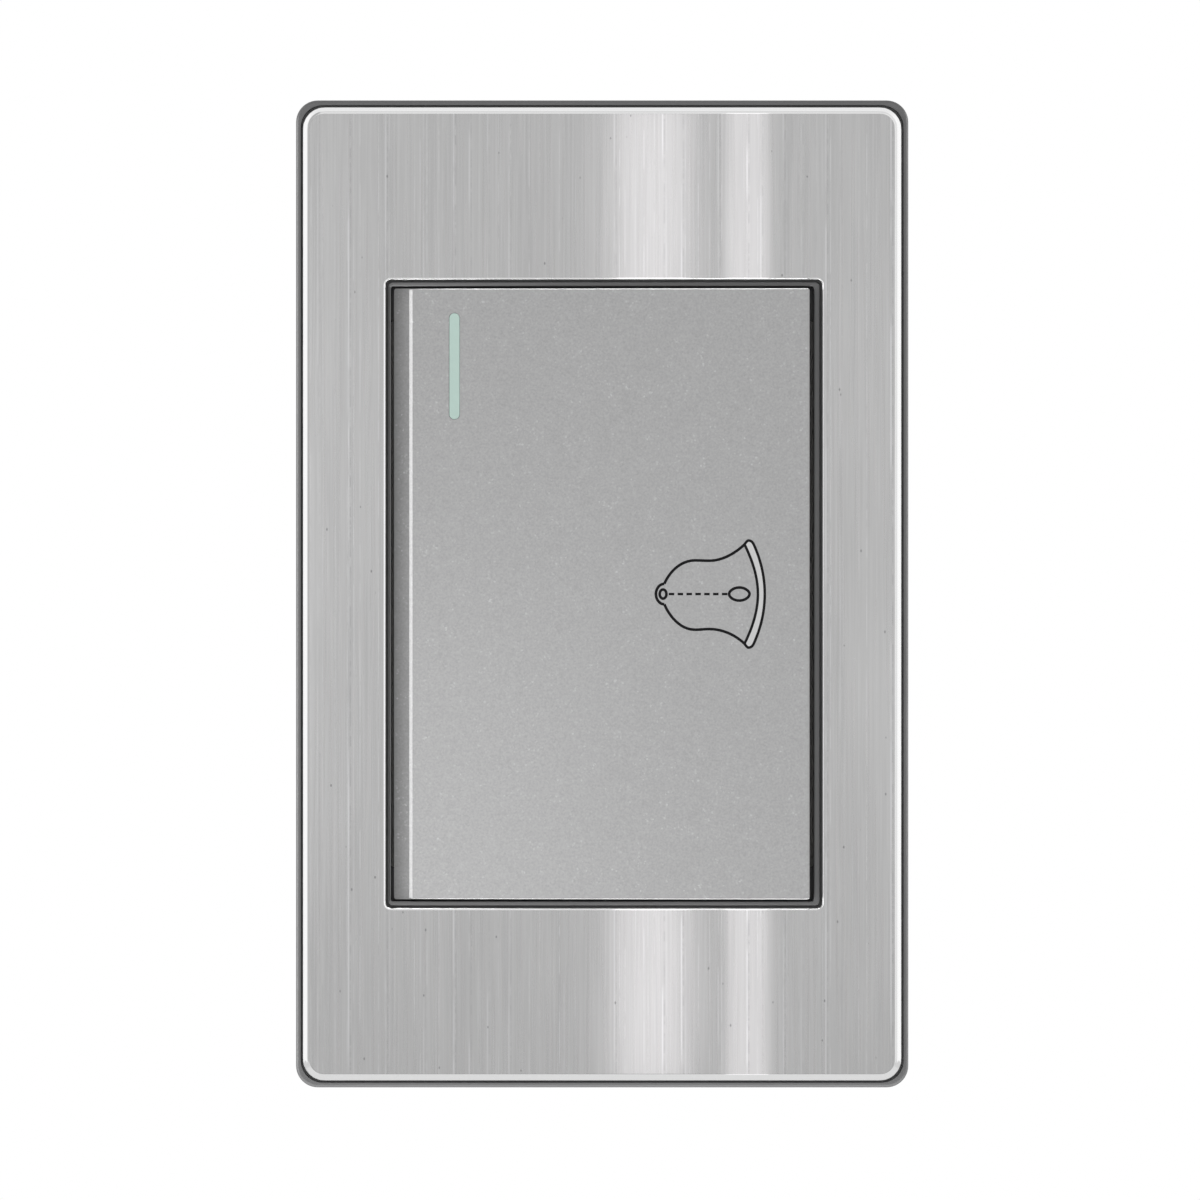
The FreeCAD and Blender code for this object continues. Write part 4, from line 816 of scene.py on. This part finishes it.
# Contacts and terminals
# The strips and contacts are stamped from brass sheet and the terminals cut from brass bar.
# Small silver tips are riveted in where the contacts meet.

BRASS = (0.72, 0.53, 0.24)
SILVER = (0.80, 0.79, 0.76)
BRASS_EDGE = 0.1 * MM
TIP_EDGE = 0.12 * MM

brass = Finish("brass")
tarnish = brass.noise(size=240.0, detail=4.0, rough=0.6)
tooling = brass.noise((200.0, 4200.0, 200.0))
brass.set(
    Base_Color=brass.mix(tarnish, [0.80 * c for c in BRASS], [1.08 * c for c in BRASS]),
    Metallic=1.0,
    Roughness=0.22 + 0.18 * tarnish,
    Normal=brass.bump(tooling, 0.002 * MM, 0.3),
)
softened(
    brass,
    "fixed_parts",
    BRASS_EDGE,
    "upper_feed_strip",
    "lower_feed_strip",
    "upper_fixed_contact",
    "lower_fixed_contact",
    "upper_terminal",
    "lower_terminal",
)
softened(brass, "slider", BRASS_EDGE, "contact_bridge")

silver = Finish("silver")
silver_bloom = silver.noise(size=1500.0, detail=3.0)
silver.set(
    Base_Color=silver.mix(silver_bloom, [0.88 * c for c in SILVER], SILVER),
    Metallic=1.0,
    Roughness=0.25 + 0.15 * silver_bloom,
)
softened(silver, "slider", TIP_EDGE, "moving_contact_tips")
softened(silver, "fixed_parts", TIP_EDGE, "fixed_contact_tips")


# Lamp board
# A small green circuit board stands behind the indicator bar. Two lamps and a resistor are
# soldered to it, and two brass strips feed it.

BOARD_GREEN = (0.03, 0.17, 0.085)
BOARD_EDGE = 0.05 * MM
LAMP_DARK = (0.78, 0.79, 0.70)
LAMP_LIGHT = (0.88, 0.88, 0.80)
LAMP_EDGE = 0.15 * MM
RESISTOR_BLACK = (0.015, 0.015, 0.018)
RESISTOR_EDGE = 0.06 * MM
TIN = (0.6, 0.6, 0.6)
TIN_LENGTH = 0.45 * MM
TIN_FADE = 0.05 * MM

board = Finish("circuit_board")
weave = board.noise(size=1800.0)
board.set(
    Base_Color=board.mix(weave, [0.85 * c for c in BOARD_GREEN], [1.15 * c for c in BOARD_GREEN]),
    Roughness=0.30 + 0.1 * weave,
    Coat_Weight=0.3,
)
softened(board, "fixed_parts", BOARD_EDGE, "indicator_board")

lamp = Finish("lamp_body")
lamp_haze = lamp.noise(size=2000.0)
lamp.set(
    Base_Color=lamp.mix(lamp_haze, LAMP_DARK, LAMP_LIGHT),
    Roughness=0.2 + 0.1 * lamp_haze,
)
softened(lamp, "fixed_parts", LAMP_EDGE, "indicator_lamps")

resistor = Finish("resistor_body")
_, _, resistor_up = resistor.axes(resistor.place())
resistor_low, resistor_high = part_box("indicator_resistor")
resistor_middle = (resistor_low.z + resistor_high.z) / 2
tin_start = (resistor_high.z - resistor_low.z) / 2 - TIN_LENGTH
tinned = resistor.fade(abs(resistor_up - resistor_middle), tin_start, tin_start + TIN_FADE)
resistor.set(
    Base_Color=resistor.mix(tinned, RESISTOR_BLACK, TIN),
    Metallic=tinned,
    Roughness=0.45 - 0.15 * tinned,
)
softened(resistor, "fixed_parts", RESISTOR_EDGE, "indicator_resistor")


# Stop pads
# Two strips of soft black rubber on the chassis, which the button's ribs land on at either
# end of the swing.

RUBBER_DARK = (0.018, 0.018, 0.018)
RUBBER_LIGHT = (0.035, 0.035, 0.035)
RUBBER_EDGE = 0.2 * MM

rubber = Finish("stop_rubber")
rubber_bloom = rubber.noise(size=900.0, detail=3.0)
rubber.set(
    Base_Color=rubber.mix(rubber_bloom, RUBBER_DARK, RUBBER_LIGHT),
    Roughness=0.65 + 0.2 * rubber_bloom,
    Normal=rubber.bump(rubber_bloom, 0.01 * MM, 0.3),
)
softened(rubber, "fixed_parts", RUBBER_EDGE, "stop_pads")


# Studio
# A white surround that mirrors see a little shaded, a pale floor well below the plate, and
# soft lamps. Most of them light one piece only, to give its edges and bands their levels.

FLOOR_DROP = 0.17
FLOOR_WIDTH = 1.6
FLOOR_WHITE = (0.68, 0.68, 0.68)
ROOM_LIGHT = 0.92
ROOM_SIDES = 0.50
ROOM_TILT = 0.15
TOP_SHADE = 0.86
LEFT_SHADE = 0.42
RING_SHADE = 0.22
BAND_LAMP_HEIGHT = 0.121
BAND_TINT = (1.0, 0.965, 0.985)

floor_build = bmesh.new()
bmesh.ops.create_grid(floor_build, x_segments=1, y_segments=1, size=FLOOR_WIDTH / 2)
bmesh.ops.translate(floor_build, verts=floor_build.verts, vec=(0.0, 0.0, -FLOOR_DROP))
floor_mesh = bpy.data.meshes.new("floor")
floor_build.to_mesh(floor_mesh)
floor_build.free()
floor = bpy.data.objects.new("floor", floor_mesh)
bpy.context.scene.collection.objects.link(floor)
plain = Finish("floor_white")
plain.set(Base_Color=FLOOR_WHITE, Roughness=0.9)
floor_mesh.materials.append(plain.material)

world = bpy.data.worlds.new("white_surround")
bpy.context.scene.world = world
world.use_nodes = True
tree = world.node_tree
background = tree.nodes["Background"]
background.inputs["Color"].default_value = (1.0, 1.0, 1.0, 1.0)
rays = tree.nodes.new("ShaderNodeLightPath")
direction = tree.nodes.new("ShaderNodeSeparateXYZ")
tree.links.new(tree.nodes.new("ShaderNodeTexCoord").outputs["Generated"], direction.inputs[0])


def world_math(operation, *values):
    """A sum or product in the world's shader."""
    made = tree.nodes.new("ShaderNodeMath")
    made.operation = operation
    for socket, value in zip(made.inputs, values):
        if isinstance(value, bpy.types.NodeSocket):
            tree.links.new(value, socket)
        else:
            socket.default_value = value
    return made.outputs[0]


def world_fade(value, low, high, start, end):
    """A smooth change from start to end as a value goes from low to high."""
    made = tree.nodes.new("ShaderNodeMapRange")
    made.interpolation_type = "SMOOTHSTEP"
    tree.links.new(value, made.inputs["Value"])
    for name, number in (("From Min", low), ("From Max", high), ("To Min", start), ("To Max", end)):
        made.inputs[name].default_value = number
    return made.outputs[0]


# Mirrors see a white room that is a little darker overhead, round the lens, and most to its left
to_right, into_wall, to_top = direction.outputs
overhead = world_fade(to_top, 0.55, 0.95, 1.0, TOP_SHADE)
near_side = world_fade(to_right, -0.92, -0.72, 0.0, LEFT_SHADE)
far_side = world_fade(to_right, -0.30, -0.10, 1.0, 0.0)
inner_ring = world_fade(into_wall, -0.96, -0.82, 0.0, RING_SHADE)
outer_ring = world_fade(into_wall, -0.50, -0.20, 1.0, 0.0)
ring = world_math("SUBTRACT", 1.0, world_math("MULTIPLY", inner_ring, outer_ring))
left_shade = world_math("MULTIPLY", world_math("MULTIPLY", near_side, far_side), outer_ring)
beside = world_math("SUBTRACT", 1.0, left_shade)
mirrored_room = world_math("MULTIPLY", ring, world_math("MULTIPLY", overhead, beside))
sides = world_math("MULTIPLY", world_math("MULTIPLY", to_right, to_right), ROOM_SIDES)
diffuse_room = world_math(
    "ADD", sides, world_math("MULTIPLY_ADD", to_top, -ROOM_TILT, ROOM_LIGHT)
)
shiny = world_math("MAXIMUM", rays.outputs["Is Glossy Ray"], rays.outputs["Is Transmission Ray"])
room = world_math(
    "ADD",
    world_math("MULTIPLY", shiny, mirrored_room),
    world_math("MULTIPLY", world_math("SUBTRACT", 1.0, shiny), diffuse_room),
)
seen = rays.outputs["Is Camera Ray"]
room = world_math("MULTIPLY", room, world_math("SUBTRACT", 1.0, seen))
tree.links.new(world_math("ADD", room, seen), background.inputs["Strength"])


def soft_lamp(name, place, aim, width, height, radiance, *lit, tint=(1.0, 1.0, 1.0)):
    """A panel of even light. It lights only the pieces given, or everything if none is given."""
    data = bpy.data.lights.new(name, "AREA")
    data.color = tint
    data.shape = "RECTANGLE"
    data.size = width
    data.size_y = height
    data.energy = math.pi * width * height * radiance
    made = bpy.data.objects.new(name, data)
    made.location = place
    made.rotation_euler = (Vector(aim) - Vector(place)).to_track_quat("-Z", "Y").to_euler()
    made.visible_camera = False
    bpy.context.scene.collection.objects.link(made)
    if lit:
        group = bpy.data.collections.new(name)
        for piece in lit:
            group.objects.link(piece)
        made.light_linking.receiver_collection = group


middle = (0.0, 0.0, 0.0)
soft_lamp("floor_bounce", (0.0, -0.12, -0.165), (0.0, -0.12, 0.0), 0.5, 0.3, 0.10)
soft_lamp("frame_left", (-0.40, -0.20, -0.10), middle, 0.2, 0.5, 9.0, frame_skin)
soft_lamp("frame_right", (0.42, -0.06, 0.0), middle, 0.12, 0.5, 6.0, frame_skin)
soft_lamp("frame_low", (0.0, -0.12, -0.16), (0.0, -0.12, 0.0), 0.5, 0.25, 2.2, frame_skin)
soft_lamp("ridge_light", (-0.40, -0.20, 0.0), middle, 0.24, 0.5, 2.4, button_skin)
soft_lamp("top_strip", (0.0, -0.25, 0.70), middle, 0.6, 0.10, 24.0, button_skin)
soft_lamp("bottom_strip", (0.0, -0.06, -0.165), middle, 0.5, 0.04, 10.0, button_skin)
soft_lamp(
    "button_soft", (-0.06, -0.25, -0.08), (-0.06, 0.0, -0.08), 0.08, 0.16, 0.74, button_skin
)
for side, radiance in ((-1, 0.43), (1, 0.23)):
    spot = (side * 0.055, -0.12, 0.008)
    soft_lamp(
        "plate_side", spot, (side * 0.035, 0.0, 0.008), 0.03, 0.09, radiance, plate_skin
    )

# Two narrow panels close to the plate draw the pale upright bands on the metal
plate_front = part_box("face_plate")[0].y
for name, left, right, gap, radiance in (
    ("wide_band", 1.6 * MM, 10.5 * MM, 18.0 * MM, 0.71),
    ("narrow_band", 14.9 * MM, 19.9 * MM, 5.0 * MM, 0.52),
):
    spot = ((left + right) / 2, plate_front - gap, 0.0)
    soft_lamp(
        name,
        spot,
        (spot[0], 0.0, 0.0),
        right - left,
        BAND_LAMP_HEIGHT,
        radiance,
        plate_skin,
        tint=BAND_TINT,
    )

bpy.context.scene.view_settings.view_transform = "Standard"
